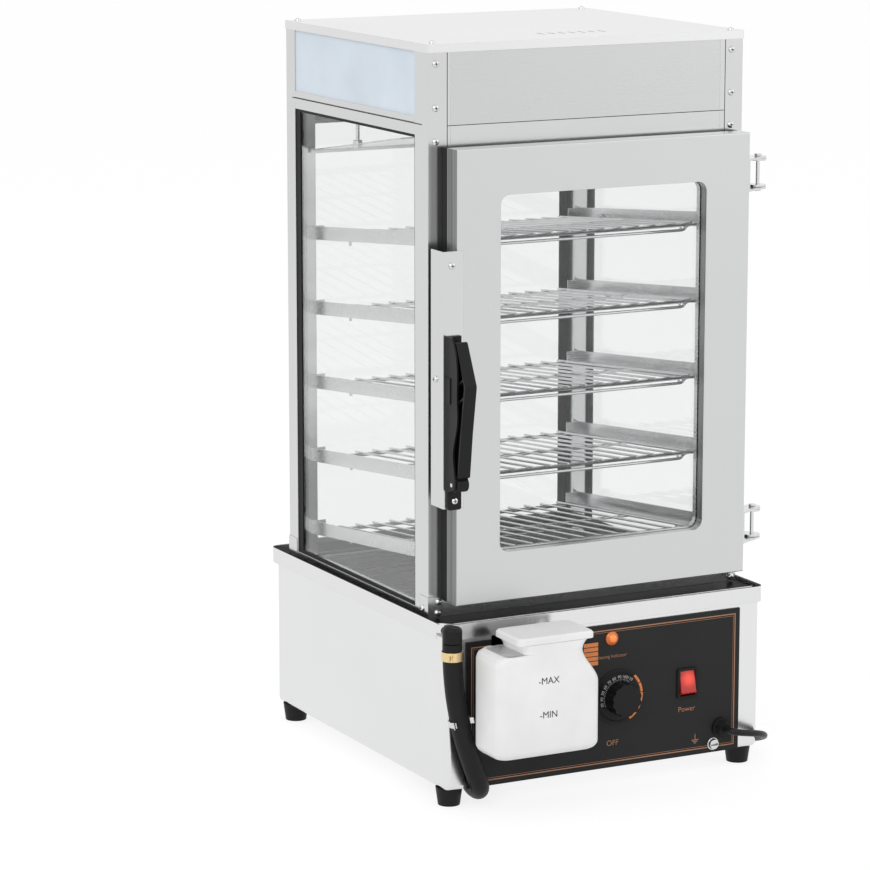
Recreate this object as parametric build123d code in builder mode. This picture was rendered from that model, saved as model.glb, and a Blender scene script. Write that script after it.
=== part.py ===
from build123d import *
import os
from math import asin, cos, pi, radians, sin, tan

os.makedirs("parts", exist_ok=True)

# Sizes in mm. X points right, Y back, Z up; the origin is under the middle of the body.
# Sheet metal
SHEET = 1.2
FIT = 0.3
TOUCH = 0.1

# Drip tray: the widest body, from which the base and the cabinet are inset
TRAY_W = 369.0
TRAY_D = 398.0
TRAY_R = 9.0
TANK_OUT = 72.0
EAR_OUT = 16.0
LIP = 10.0
SKIRT = 16.0
TRAY_L = -(TRAY_W + EAR_OUT) / 2
TRAY_RIGHT = TRAY_L + TRAY_W
TRAY_F = -(TRAY_D + TANK_OUT) / 2 + TANK_OUT
TRAY_B = TRAY_F + TRAY_D

# Base casing
FOOT_H = 18.0
FOOT_R = 13.5
FOOT_TIP_R = 11.0
FOOT_IN_X = 13.0
FOOT_IN_Y = 18.0
BASE_H = 159.0
BASE_CORNER_R = 6.0
BASE_L = TRAY_L + 4.5
BASE_R = TRAY_RIGHT - 3.5
BASE_F = TRAY_F + 3.0
BASE_B = TRAY_B - 6.0
BASE_W = BASE_R - BASE_L
BASE_D = BASE_B - BASE_F
BASE_X = (BASE_L + BASE_R) / 2
BASE_Y = (BASE_F + BASE_B) / 2
BASE_TOP = FOOT_H + BASE_H
BASE_RIM = 22.0

# Tray levels
GUTTER_TOP = BASE_TOP + SHEET
TRAY_TOP = BASE_TOP + LIP
SKIRT_BOTTOM = TRAY_TOP - SKIRT
PLINTH_TOP = BASE_TOP + 7.0
STEP_Y = TRAY_F + 13.0

# Cabinet
CAB_L = TRAY_L + 7.5
CAB_R = TRAY_RIGHT - 7.5
CAB_F = TRAY_F + 46.0
CAB_B = TRAY_B - 34.0
CAB_H = 564.0
CAB_X = (CAB_L + CAB_R) / 2
CAB_Y = (CAB_F + CAB_B) / 2
CAB_W = CAB_R - CAB_L
CAB_D = CAB_B - CAB_F
ROOF_TOP = PLINTH_TOP + CAB_H
ROOF_SKIRT = 8.5
ROOF_UNDER = ROOF_TOP - SHEET

# Posts: outer legs, and an inner return that holds the edge of the side glass
POST_SIDE_LEG = 28.0
POST_SIDE_LEG_REAR = 20.0
POST_FRONT_LEG_L = 24.4
POST_FRONT_LEG_R = 26.0
POST_REAR_LEG = 24.0
POST_FRONT_DEPTH = 17.5
POST_REAR_DEPTH = 23.0
GLASS_T = 4.0
SEAL_T = 1.8
GLASS_IN = SHEET + SEAL_T
RETURN_GAP = 0.5
CAP_T = 0.8
CAP_H = 21.0
CAP_LEG = 20.0

# Header, rails and sills
HEADER_BOTTOM = 669.0
LINTEL_H = 35.0
SILL_H = 32.0
REAR_SILL_H = 15.0
RAIL_DEPTH = 20.0
SIDE_RAIL_BOTTOM = 659.0
SIDE_RAIL_H = 18.0
SIDE_RAIL_LEDGE = 7.6
SIDE_RAIL_LEDGE_W = 11.8
LOW_RAIL_H = 7.0
WINDOW_T = 2.0

# Shelf rails and racks, which rise towards the front
LEVELS = 5
LEVEL_PITCH = 78.2
RAIL_SLOPE = 0.10
RAIL_FIRST_Z = 209.4
RAIL_LEG = 14.0
RAIL_FOOT = 14.0
RAIL_T = 1.0
RAIL_OFF_L = 17.0
RAIL_OFF_R = 17.0
RAIL_TAB_REAR = 16.0
RAIL_TAB_FRONT = 8.0
RACK_WIRE_R = 2.0
ROD_R = 1.25
ROD_PITCH = 20.0
RACK_REAR_Y = CAB_B - 31.0
RACK_DEPTH = 270.0
RACK_SIDE_GAP = 0.7

# Door
DOOR_T = 20.0
SEAL_DEPTH = 11.0
SEAL_W = 9.0
DOOR_L = CAB_L + 15.0
DOOR_R = CAB_R - 9.0
DOOR_BOTTOM = 201.0
DOOR_TOP = 649.0
DOOR_BACK = CAB_F - SEAL_DEPTH
DOOR_FRONT = DOOR_BACK - DOOR_T
WIN_L = DOOR_L + 48.0
WIN_R = DOOR_R - 50.0
WIN_BOTTOM = DOOR_BOTTOM + 49.0
WIN_TOP = DOOR_TOP - 46.0
WIN_CORNER_R = 10.0
WIN_LIP = 10.0
LATCH_L = CAB_L + 1.0
LATCH_RIGHT = DOOR_L + 7.0
LATCH_BOTTOM = 300.0
LATCH_TOP = 552.0
LATCH_FLANK = 26.0

# Hinges
PIN_R = 2.0
PIN_GAP = 0.05
EAR_R = 8.5
EAR_T = 2.0
HINGE_X = TRAY_RIGHT + EAR_OUT - EAR_R
HINGE_Y = DOOR_BACK + 3.0
HINGE_Z = (245.5, 605.5)
HINGE_SPAN = 33.0
HINGE_GAP = 0.3

# Handle
HANDLE_L = LATCH_L + 2.0
HANDLE_W = 15.0
HANDLE_BOTTOM = 299.0
HANDLE_TOP = 470.0
HANDLE_FLANGE = 3.0
CHEEK_T = 2.0
LEVER_W = 13.0
PIVOT_Y = DOOR_FRONT - 13.0
PIVOT_Z = 326.0
PIVOT_R = 2.0
LEVER_BOSS_R = 7.5

# Control panel
PANEL_L = BASE_L + 22.0
PANEL_R = BASE_R - 24.5
PANEL_BOTTOM = FOOT_H + 1.0
PANEL_TOP = SKIRT_BOTTOM - 4.0
PANEL_T = 1.5
PANEL_F = BASE_F - PANEL_T
PANEL_BACK = BASE_F + SHEET
KNOB = (6.0, 91.5)
KNOB_SKIRT_R = 26.0
KNOB_SKIRT_T = 4.0
KNOB_CAP_R = 17.5
KNOB_CAP_H = 14.0
SHAFT_R = 3.0
BUSH_R = 5.0
LAMP = (-2.0, 152.6)
LAMP_HOLE_R = 5.0
LAMP_R = 7.0
SWITCH = (86.5, 96.0)
SWITCH_W = 24.0
SWITCH_H = 31.0
SWITCH_BODY_W = 21.0
SWITCH_BODY_H = 28.0
SWITCH_DEPTH = 24.0
ROCKER_W = 17.0
ROCKER_R = 12.6
STUD = (118.0, 28.0)
STUD_R = 2.5
GLAND = (127.0, 44.5)
GLAND_R = 10.0
GLAND_OUT = 10.0
GLAND_HOLE_R = 6.5

# Water pan and heater
PAN_FLANGE = 4.0
PAN_GAP = 2.0
PAN_L = CAB_L + 25.0
PAN_R = CAB_R - 25.0
PAN_F = CAB_F + RAIL_DEPTH + PAN_FLANGE + PAN_GAP
PAN_B = CAB_B - POST_REAR_DEPTH - PAN_FLANGE - PAN_GAP
PAN_BOTTOM = 80.0
PAN_R_CORNER = 6.0
SPIGOT_LENGTH = 17.0
HEATER_R = 4.0
HEATER_Z = PAN_BOTTOM + 22.0

# Drain hose, its elbow, clamp, clip and notch
HOSE_R = 9.75
HOSE_BORE = 7.0
HOSE_Y = BASE_F - 12.5
HOSE_X = BASE_L + 0.5
HOSE_TOP = 171.5
NOTCH_L = BASE_L + 20.0
NOTCH_R = BASE_L + 52.5
NOTCH_H = 15.0
SPIGOT = (-122.0, -80.0)
LIMB_R = 3.6

# Tank
TANK_L = -170.0
TANK_W = 111.0
TANK_D = 54.0
TANK_BOTTOM = 58.5
TANK_SHOULDER = 167.0
TANK_WALL = 2.0
TANK_F = TRAY_F - TANK_OUT
TANK_B = TANK_F + TANK_D
TANK_R = TANK_L + TANK_W
TANK_EDGE_R = 12.0
NECK_L = TANK_L + 30.0
NECK_R = TANK_R - 15.0
NECK_TOP = 177.0
LID_L = TANK_L + 23.0
LID_R = TANK_R - 4.0
LID_T = 7.0
LID_D = 53.0

# Power cord
CORD_R = 3.5
COIL_GAP = 0.5
COIL_TURN_R = 44.0
COIL_X = 190.0
COIL_Y = 290.0
PLUG_RISE = 7.0


def rod(start, end, radius):
    """Add a straight round bar from start to end to the part being built."""
    run = Vector(*end) - Vector(*start)
    with BuildSketch(Plane(origin=start, z_dir=run)) as section:
        Circle(radius)
    extrude(section.sketch, amount=run.length)


def slab(x, y, z, mode=Mode.ADD):
    """Add or cut a box given by its limits along each axis."""
    with Locations(((x[0] + x[1]) / 2, (y[0] + y[1]) / 2, (z[0] + z[1]) / 2)):
        Box(x[1] - x[0], y[1] - y[0], z[1] - z[0], mode=mode)


def sheet_ring(left, right, bottom, top, y, depth, width):
    """Add a rectangular ring that stands in the XZ plane, running back from y."""
    with BuildSketch(Plane.XZ.offset(-y)) as section:
        with Locations(((left + right) / 2, (bottom + top) / 2)):
            Rectangle(right - left, top - bottom)
            Rectangle(right - left - 2 * width, top - bottom - 2 * width, mode=Mode.SUBTRACT)
    extrude(section.sketch, amount=-depth)


def corner_radii(points):
    """The largest even arcs that a route's runs allow, one for each inner point."""
    radii = []
    for before, here, after in zip(points, points[1:], points[2:]):
        run_in = Vector(*here) - Vector(*before)
        run_out = Vector(*after) - Vector(*here)
        half_turn = radians(run_in.get_angle(run_out)) / 2
        radii.append(0.45 * min(run_in.length, run_out.length) / tan(half_turn))
    return radii


# Base casing: an open-topped folded box with a rim under it and a ledge at its top
with BuildPart() as base_shell:
    with BuildSketch(Plane.XY.offset(FOOT_H)):
        with Locations((BASE_X, BASE_Y)):
            RectangleRounded(BASE_W, BASE_D, BASE_CORNER_R)
    extrude(amount=BASE_H)
    fillet(base_shell.faces().sort_by(Axis.Z)[0].edges(), BASE_CORNER_R - 1)
    offset(amount=-SHEET, openings=base_shell.faces().sort_by(Axis.Z)[-1])
    with BuildSketch(Plane.XY.offset(FOOT_H)):
        with Locations((BASE_X, BASE_Y)):
            Rectangle(BASE_W - 2 * BASE_RIM, BASE_D - 2 * BASE_RIM)
    extrude(amount=SHEET, mode=Mode.SUBTRACT)
    with BuildSketch(Plane.XY.offset(BASE_TOP - SHEET)):
        with Locations((BASE_X, BASE_Y)):
            RectangleRounded(BASE_W - SHEET, BASE_D - SHEET, BASE_CORNER_R - SHEET)
            Rectangle(BASE_W - BASE_RIM, BASE_D - BASE_RIM, mode=Mode.SUBTRACT)
    extrude(amount=SHEET)
    with BuildSketch(Plane.XZ.offset(-BASE_F)):
        with Locations(KNOB):
            Circle(BUSH_R)
        with Locations(LAMP):
            Circle(LAMP_HOLE_R)
        with Locations(SWITCH):
            Rectangle(SWITCH_BODY_W + FIT, SWITCH_BODY_H + FIT)
        with Locations(STUD):
            Circle(STUD_R)
        with Locations(GLAND):
            Circle(GLAND_HOLE_R)
    extrude(amount=-2 * SHEET, mode=Mode.SUBTRACT)
    slab((NOTCH_L, NOTCH_R), (BASE_F - 1, BASE_F + BASE_RIM + 1), (FOOT_H - 1, FOOT_H + NOTCH_H),
         Mode.SUBTRACT)
base_shell.part.label = "base_shell"
export_step(base_shell.part, "parts/base_shell.step")

# Bottom plate, with a slot for the hose and two rows of vents
with BuildPart() as bottom_plate:
    with BuildSketch(Plane.XY.offset(FOOT_H + SHEET)):
        with Locations((BASE_X, BASE_Y)):
            Rectangle(BASE_W - BASE_RIM, BASE_D - BASE_RIM)
            with GridLocations(34, 150, 7, 2):
                SlotOverall(26, 5, rotation=90, mode=Mode.SUBTRACT)
    extrude(amount=SHEET)
    slab((NOTCH_L, SPIGOT[0] + 14), (BASE_F, SPIGOT[1] + 14), (FOOT_H, FOOT_H + 4), Mode.SUBTRACT)
bottom_plate.part.label = "bottom_plate"
export_step(bottom_plate.part, "parts/bottom_plate.step")

# Feet: tapered rubber, with a recess for the screw
with BuildPart() as feet:
    with Locations((BASE_X, BASE_Y)):
        with GridLocations(BASE_W - 2 * FOOT_IN_X, BASE_D - 2 * FOOT_IN_Y, 2, 2):
            Cone(FOOT_TIP_R, FOOT_R, FOOT_H, align=(Align.CENTER, Align.CENTER, Align.MIN))
            Cylinder(4, FOOT_H / 2, align=(Align.CENTER, Align.CENTER, Align.MIN), mode=Mode.SUBTRACT)
feet.part.label = "feet"
export_step(feet.part, "parts/feet.step")

# Control panel
with BuildPart() as control_panel:
    with BuildSketch(Plane.XZ.offset(-BASE_F)):
        with Locations(((PANEL_L + PANEL_R) / 2, (PANEL_BOTTOM + PANEL_TOP) / 2)):
            Rectangle(PANEL_R - PANEL_L, PANEL_TOP - PANEL_BOTTOM)
        with Locations(KNOB):
            Circle(BUSH_R, mode=Mode.SUBTRACT)
        with Locations(LAMP):
            Circle(LAMP_HOLE_R, mode=Mode.SUBTRACT)
        with Locations(SWITCH):
            Rectangle(SWITCH_BODY_W + FIT, SWITCH_BODY_H + FIT, mode=Mode.SUBTRACT)
        with Locations(STUD):
            Circle(STUD_R, mode=Mode.SUBTRACT)
        with Locations(GLAND):
            Circle(GLAND_HOLE_R, mode=Mode.SUBTRACT)
    extrude(amount=PANEL_T)
    slab((NOTCH_L, NOTCH_R), (PANEL_F - 1, BASE_F + 1), (0, FOOT_H + NOTCH_H), Mode.SUBTRACT)
control_panel.part.label = "control_panel"
export_step(control_panel.part, "parts/control_panel.step")

# Thermostat: body behind the panel and a threaded bush through it
with BuildPart() as thermostat:
    slab((KNOB[0] - 18, KNOB[0] + 18), (PANEL_BACK, PANEL_BACK + 24), (KNOB[1] - 16, KNOB[1] + 16))
    with BuildSketch(Plane.XZ.offset(-PANEL_F)):
        with Locations(KNOB):
            Circle(BUSH_R - TOUCH)
    extrude(amount=PANEL_F - PANEL_BACK)
    with BuildSketch(Plane.XZ.offset(-PANEL_F)):
        with Locations(KNOB):
            Circle(SHAFT_R + PIN_GAP)
    extrude(amount=-20, mode=Mode.SUBTRACT)
thermostat.part.label = "thermostat"
export_step(thermostat.part, "parts/thermostat.step")

# Knob: numbered skirt, fluted cap and the shaft that turns in the bush
KNOB_BACK = PANEL_F - 0.5
with BuildPart() as temperature_knob:
    with BuildSketch(Plane.XZ.offset(-KNOB_BACK)):
        with Locations(KNOB):
            Circle(KNOB_SKIRT_R)
    extrude(amount=KNOB_SKIRT_T, taper=35)
    with BuildSketch(Plane.XZ.offset(-KNOB_BACK + KNOB_SKIRT_T)):
        with Locations(KNOB):
            Circle(KNOB_CAP_R)
            with PolarLocations(KNOB_CAP_R + 2.2, 12):
                Circle(3.4, mode=Mode.SUBTRACT)
    extrude(amount=KNOB_CAP_H, taper=3)
    with BuildSketch(Plane.XZ.offset(-KNOB_BACK)):
        with Locations(KNOB):
            Circle(SHAFT_R)
    extrude(amount=-18)
temperature_knob.part.label = "temperature_knob"
export_step(temperature_knob.part, "parts/temperature_knob.step")

# Indicator lamp: bezel, domed lens and body in one turned form
LENS_W = LAMP_R - 1.6
LENS_H = 4.0
LENS_Y = PANEL_F - 2.2
LENS_R = (LENS_H ** 2 + LENS_W ** 2) / (2 * LENS_H)
LENS_MIDDLE = LENS_Y - LENS_H + LENS_R
LENS_SPAN = asin(LENS_W / LENS_R)
with BuildPart() as indicator_lamp:
    with BuildSketch(Plane(origin=(LAMP[0], 0, LAMP[1]), x_dir=(1, 0, 0), z_dir=(0, 0, 1))):
        with BuildLine():
            Polyline((0, PANEL_BACK + 18), (LAMP_HOLE_R - TOUCH, PANEL_BACK + 18),
                     (LAMP_HOLE_R - TOUCH, PANEL_F),
                     (LAMP_R, PANEL_F), (LAMP_R, PANEL_F - 1.2), (LAMP_R - 1.2, LENS_Y), (LENS_W, LENS_Y))
            ThreePointArc((LENS_W, LENS_Y),
                          (LENS_R * sin(LENS_SPAN / 2), LENS_MIDDLE - LENS_R * cos(LENS_SPAN / 2)),
                          (0, LENS_Y - LENS_H))
            Line((0, LENS_Y - LENS_H), (0, PANEL_BACK + 18))
        make_face()
    revolve(axis=Axis((LAMP[0], 0, LAMP[1]), (0, 1, 0)))
indicator_lamp.part.label = "indicator_lamp"
export_step(indicator_lamp.part, "parts/indicator_lamp.step")

# Switch housing: bezel and body with the well that the rocker tips in
WELL_W = ROCKER_W + 2 * FIT
WELL_H = 2 * ROCKER_R + 4 * FIT
ROCKER_AXIS_Y = PANEL_F + 3.0
with BuildPart() as switch_housing:
    with BuildSketch(Plane.XZ.offset(-PANEL_F)):
        with Locations(SWITCH):
            RectangleRounded(SWITCH_W, SWITCH_H, 2)
    extrude(amount=2)
    with BuildSketch(Plane.XZ.offset(-PANEL_F)):
        with Locations(SWITCH):
            Rectangle(SWITCH_BODY_W, SWITCH_BODY_H)
    extrude(amount=-SWITCH_DEPTH)
    slab((SWITCH[0] - WELL_W / 2, SWITCH[0] + WELL_W / 2), (PANEL_F - 3, ROCKER_AXIS_Y + ROCKER_R),
         (SWITCH[1] - WELL_H / 2, SWITCH[1] + WELL_H / 2), Mode.SUBTRACT)
    rod((SWITCH[0] - SWITCH_BODY_W / 2 + 0.4, ROCKER_AXIS_Y, SWITCH[1]),
        (SWITCH[0] + SWITCH_BODY_W / 2 - 0.4, ROCKER_AXIS_Y, SWITCH[1]), 1.2)
switch_housing.part.label = "switch_housing"
export_step(switch_housing.part, "parts/switch_housing.step")

# Rocker: two sloping faces on a round-backed body, pivoted on the housing's pin
with BuildPart() as rocker:
    with BuildSketch(Plane.YZ.offset(SWITCH[0] - ROCKER_W / 2)):
        with Locations((ROCKER_AXIS_Y, SWITCH[1])):
            Circle(ROCKER_R)
            with Locations((-ROCKER_R - 4.5, 6), (-ROCKER_R - 8.5, -6)):
                Rectangle(2 * ROCKER_R, 2 * ROCKER_R, rotation=-12, mode=Mode.SUBTRACT)
            with Locations((ROCKER_R, 0)):
                Rectangle(2 * ROCKER_R - 10, 2 * ROCKER_R, mode=Mode.SUBTRACT)
            Circle(1.2 + PIN_GAP, mode=Mode.SUBTRACT)
    extrude(amount=ROCKER_W)
rocker.part.label = "rocker"
export_step(rocker.part, "parts/rocker.step")

# Earth stud with its washer and round head
with BuildPart() as earth_stud:
    with BuildSketch(Plane.XZ.offset(-PANEL_F)):
        with Locations(STUD):
            Circle(6.4)
    extrude(amount=1)
    with BuildSketch(Plane.XZ.offset(-PANEL_F + 1)):
        with Locations(STUD):
            Circle(5.6)
            Rectangle(7, 1.2, mode=Mode.SUBTRACT)
    extrude(amount=3.2, taper=12)
    with BuildSketch(Plane.XZ.offset(-PANEL_F)):
        with Locations(STUD):
            Circle(STUD_R - TOUCH)
    extrude(amount=-14)
earth_stud.part.label = "earth_stud"
export_step(earth_stud.part, "parts/earth_stud.step")

# Cable gland: body through the panel, flange, and a nose that tapers round the cord
with BuildPart() as cord_gland:
    with BuildSketch(Plane.XZ.offset(-PANEL_F)):
        with Locations(GLAND):
            Circle(GLAND_R)
    extrude(amount=3)
    with BuildSketch(Plane.XZ.offset(-PANEL_F + 3)):
        with Locations(GLAND):
            Circle(GLAND_R - 1.5)
    extrude(amount=GLAND_OUT - 3, taper=20)
    with BuildSketch(Plane.XZ.offset(-PANEL_F)):
        with Locations(GLAND):
            Circle(GLAND_HOLE_R - TOUCH)
    extrude(amount=-16)
    with BuildSketch(Plane.XZ.offset(-PANEL_BACK)):
        with Locations(GLAND):
            RegularPolygon(GLAND_R, 6)
            Circle(GLAND_HOLE_R - TOUCH, mode=Mode.SUBTRACT)
    extrude(amount=-5)
cord_gland.part.label = "cord_gland"
export_step(cord_gland.part, "parts/cord_gland.step")

# Drip tray: outer skirt and lip, gutter, raised plinth with two drain slots
PLINTH_L = CAB_L - 1.5
PLINTH_R = CAB_R + 1.5
PLINTH_B = CAB_B + 1.5
TRAY_CORNER = (TRAY_L, TRAY_F)
DRAIN_WALL = 12.0
with BuildPart() as drip_tray:
    with BuildSketch(Plane.XY.offset(SKIRT_BOTTOM)):
        with Locations(((TRAY_L + TRAY_RIGHT) / 2, (TRAY_F + TRAY_B) / 2)):
            RectangleRounded(TRAY_W, TRAY_D, TRAY_R)
    extrude(amount=SKIRT)
    with BuildSketch(Plane.XY.offset(GUTTER_TOP)):
        with Locations(((TRAY_L + TRAY_RIGHT) / 2, (TRAY_F + TRAY_B) / 2)):
            RectangleRounded(TRAY_W - 2 * SHEET, TRAY_D - 2 * SHEET, TRAY_R - SHEET)
    extrude(amount=LIP, mode=Mode.SUBTRACT)
    with BuildSketch(Plane.XY.offset(BASE_TOP)):
        with Locations(((TRAY_L + TRAY_RIGHT) / 2, (TRAY_F + TRAY_B) / 2)):
            RectangleRounded(TRAY_W - 2 * SHEET, TRAY_D - 2 * SHEET, TRAY_R - SHEET)
    extrude(amount=-SKIRT, mode=Mode.SUBTRACT)
    slab((PLINTH_L, PLINTH_R), (STEP_Y, PLINTH_B), (BASE_TOP, PLINTH_TOP))
    slab((PLINTH_L + SHEET, PLINTH_R - SHEET), (STEP_Y + SHEET, PLINTH_B - SHEET),
         (BASE_TOP - 1, PLINTH_TOP - SHEET),
         Mode.SUBTRACT)
    slab((PAN_L - FIT, PAN_R + FIT), (PAN_F - FIT, PAN_B + FIT), (BASE_TOP - 1, PLINTH_TOP + 1),
         Mode.SUBTRACT)
    with BuildSketch(Plane.XZ.offset(-STEP_Y)):
        with Locations((-103, PLINTH_TOP - 3), (25, PLINTH_TOP - 3)):
            SlotOverall(20, 3)
    extrude(amount=-3, mode=Mode.SUBTRACT)
    with BuildSketch(Plane(origin=(TRAY_L, TRAY_F, SKIRT_BOTTOM - 2), z_dir=(1, 1, 0))):
        Circle(19)
    extrude(amount=DRAIN_WALL, both=True, mode=Mode.SUBTRACT)
    with BuildSketch(Plane(origin=(TRAY_L, TRAY_F, TRAY_TOP - LIP / 2), x_dir=(1, -1, 0),
                           z_dir=(1, 1, 0)).offset(DRAIN_WALL)):
        Rectangle(2 * DRAIN_WALL - TOUCH, LIP)
        Circle(LIMB_R + TOUCH, mode=Mode.SUBTRACT)
    extrude(amount=SHEET)
drip_tray.part.label = "drip_tray"
export_step(drip_tray.part, "parts/drip_tray.step")

# Water pan hung in the plinth by its flange, with a spigot for the drain hose
with BuildPart() as water_pan:
    with BuildSketch(Plane.XY.offset(PAN_BOTTOM)):
        with Locations(((PAN_L + PAN_R) / 2, (PAN_F + PAN_B) / 2)):
            RectangleRounded(PAN_R - PAN_L - 2 * FIT, PAN_B - PAN_F - 2 * FIT, PAN_R_CORNER)
    extrude(amount=PLINTH_TOP - PAN_BOTTOM)
    with BuildSketch(Plane.XY.offset(PLINTH_TOP)):
        with Locations(((PAN_L + PAN_R) / 2, (PAN_F + PAN_B) / 2)):
            RectangleRounded(PAN_R - PAN_L + 2 * PAN_FLANGE, PAN_B - PAN_F + 2 * PAN_FLANGE, PAN_FLANGE)
    extrude(amount=SHEET)
    with BuildSketch(Plane.XY.offset(PAN_BOTTOM + SHEET)):
        with Locations(((PAN_L + PAN_R) / 2, (PAN_F + PAN_B) / 2)):
            RectangleRounded(PAN_R - PAN_L - 2 * FIT - 2 * SHEET, PAN_B - PAN_F - 2 * FIT - 2 * SHEET,
                             PAN_R_CORNER - SHEET)
    extrude(amount=PLINTH_TOP - PAN_BOTTOM + 1, mode=Mode.SUBTRACT)
    with BuildSketch(Plane.XY.offset(PAN_BOTTOM)):
        with Locations(SPIGOT):
            Circle(HOSE_BORE - TOUCH)
    extrude(amount=-SPIGOT_LENGTH)
    with BuildSketch(Plane.XY.offset(PAN_BOTTOM - SPIGOT_LENGTH)):
        with Locations(SPIGOT):
            Circle(HOSE_BORE - 2)
    extrude(amount=SPIGOT_LENGTH + SHEET, mode=Mode.SUBTRACT)
    with BuildSketch(Plane.XZ.offset(-PAN_F)):
        with Locations((CAB_X - 30, HEATER_Z), (CAB_X + 30, HEATER_Z)):
            Circle(HEATER_R + TOUCH)
    extrude(amount=-3, mode=Mode.SUBTRACT)
water_pan.part.label = "water_pan"
export_step(water_pan.part, "parts/water_pan.step")

# Heating element: one bent tube with a nut and a terminal at each end
with BuildPart() as heating_element:
    heater_in = PAN_F - 14
    heater_turn = PAN_F + 32
    heater_back = PAN_B - 38
    with BuildLine() as heater_line:
        FilletPolyline((CAB_X - 30, heater_in, HEATER_Z), (CAB_X - 30, heater_turn, HEATER_Z),
                       (CAB_X - 95, heater_turn, HEATER_Z), (CAB_X - 95, heater_back, HEATER_Z),
                       (CAB_X + 95, heater_back, HEATER_Z), (CAB_X + 95, heater_turn, HEATER_Z),
                       (CAB_X + 30, heater_turn, HEATER_Z), (CAB_X + 30, heater_in, HEATER_Z), radius=18)
    with BuildSketch(Plane(origin=(CAB_X - 30, heater_in, HEATER_Z), z_dir=(0, 1, 0))):
        Circle(HEATER_R)
    sweep(path=heater_line.wires()[0])
    for side in (-30, 30):
        rod((CAB_X + side, PAN_F - 3.5, HEATER_Z), (CAB_X + side, PAN_F, HEATER_Z), HEATER_R + 4)
        rod((CAB_X + side, heater_in - 8, HEATER_Z), (CAB_X + side, heater_in, HEATER_Z), 1.6)
heating_element.part.label = "heating_element"
export_step(heating_element.part, "parts/heating_element.step")

# Drain elbow: upright barrel, limb into the tray's corner wall, and a spigot for the hose
LIMB_Z = TRAY_TOP - LIP / 2
LIMB_IN = (DRAIN_WALL + SHEET) * sin(pi / 4)
LIMB_OUT = 1.2
with BuildPart() as drain_elbow:
    with BuildSketch(Plane.XY.offset(HOSE_TOP + 1)):
        with Locations((HOSE_X, HOSE_Y)):
            Circle(HOSE_R)
    extrude(amount=TRAY_TOP + 1 - HOSE_TOP - 1)
    fillet(drain_elbow.faces().sort_by(Axis.Z)[-1].edges(), 4)
    with BuildSketch(Plane.XY.offset(HOSE_TOP + 1)):
        with Locations((HOSE_X, HOSE_Y)):
            Circle(HOSE_BORE - TOUCH)
    extrude(amount=-22)
    with BuildLine() as limb_line:
        FilletPolyline((TRAY_L + LIMB_IN, TRAY_F + LIMB_IN, LIMB_Z),
                       (TRAY_L + LIMB_OUT, TRAY_F + LIMB_OUT, LIMB_Z),
                       (HOSE_X, HOSE_Y, LIMB_Z), radius=5)
    with BuildSketch(Plane(origin=(TRAY_L + LIMB_IN, TRAY_F + LIMB_IN, LIMB_Z), z_dir=(-1, -1, 0))):
        Circle(LIMB_R)
    sweep(path=limb_line.wires()[0])
drain_elbow.part.label = "drain_elbow"
export_step(drain_elbow.part, "parts/drain_elbow.step")

# Drain hose: down the front, through the notch and up to the pan's spigot
HOSE_POINTS = [(HOSE_X, HOSE_Y, HOSE_TOP), (HOSE_X, HOSE_Y, 138), (-178.5, HOSE_Y, 85), (-166, HOSE_Y, 48),
               (-157.5, HOSE_Y - 1, 26), (-151, -161, 14.5), (-147, -134, 14.5), (-128, -100, 22),
               (SPIGOT[0], SPIGOT[1], 42),
               (SPIGOT[0], SPIGOT[1], PAN_BOTTOM - TOUCH)]
with BuildPart() as drain_hose:
    with BuildLine() as hose_line:
        FilletPolyline(*HOSE_POINTS, radius=corner_radii(HOSE_POINTS))
    with BuildSketch(Plane(origin=HOSE_POINTS[0], z_dir=(0, 0, -1))):
        Circle(HOSE_R)
        Circle(HOSE_BORE, mode=Mode.SUBTRACT)
    sweep(path=hose_line.wires()[0])
drain_hose.part.label = "drain_hose"
export_step(drain_hose.part, "parts/drain_hose.step")

# Spring clamp on the hose's upper end, with its two ears
CLAMP_Z = 155.0
CLAMP_EARS = 232
with BuildPart() as hose_clamp:
    with BuildSketch(Plane.XY.offset(CLAMP_Z)):
        with Locations((HOSE_X, HOSE_Y)):
            Circle(HOSE_R + 1)
            Circle(HOSE_R + TOUCH, mode=Mode.SUBTRACT)
    extrude(amount=9)
    with BuildSketch(Plane.XY.offset(CLAMP_Z + 2)):
        with Locations((HOSE_X, HOSE_Y)):
            with PolarLocations(HOSE_R + 4, 2, start_angle=CLAMP_EARS, angular_range=26):
                Rectangle(7, 1.2)
    extrude(amount=5)
hose_clamp.part.label = "hose_clamp"
export_step(hose_clamp.part, "parts/hose_clamp.step")

# Open spring clip on the casing's front, gripping the hose
CLIP_SHARE = 0.268
CLIP_GAP = 0.6
CLIP_T = 0.9
hose_wire = hose_line.wires()[0]
clip_middle = hose_wire @ CLIP_SHARE
print("clip middle", clip_middle)
with BuildPart() as hose_clip:
    with BuildSketch(Plane(origin=clip_middle, x_dir=(0, 1, 0), z_dir=-(hose_wire % CLIP_SHARE))):
        Circle(HOSE_R + CLIP_GAP + CLIP_T)
        with Locations((BASE_F - clip_middle.Y - 1, 0)):
            Rectangle(2, 12)
        Circle(HOSE_R + CLIP_GAP, mode=Mode.SUBTRACT)
        with Locations((-12, 0)):
            Rectangle(14, 15, mode=Mode.SUBTRACT)
        with PolarLocations(HOSE_R + 3, 2, start_angle=132, angular_range=96, endpoint=True):
            Rectangle(4.6, CLIP_T)
    extrude(amount=3, both=True)
hose_clip.part.label = "hose_clip"
export_step(hose_clip.part, "parts/hose_clip.step")

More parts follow.
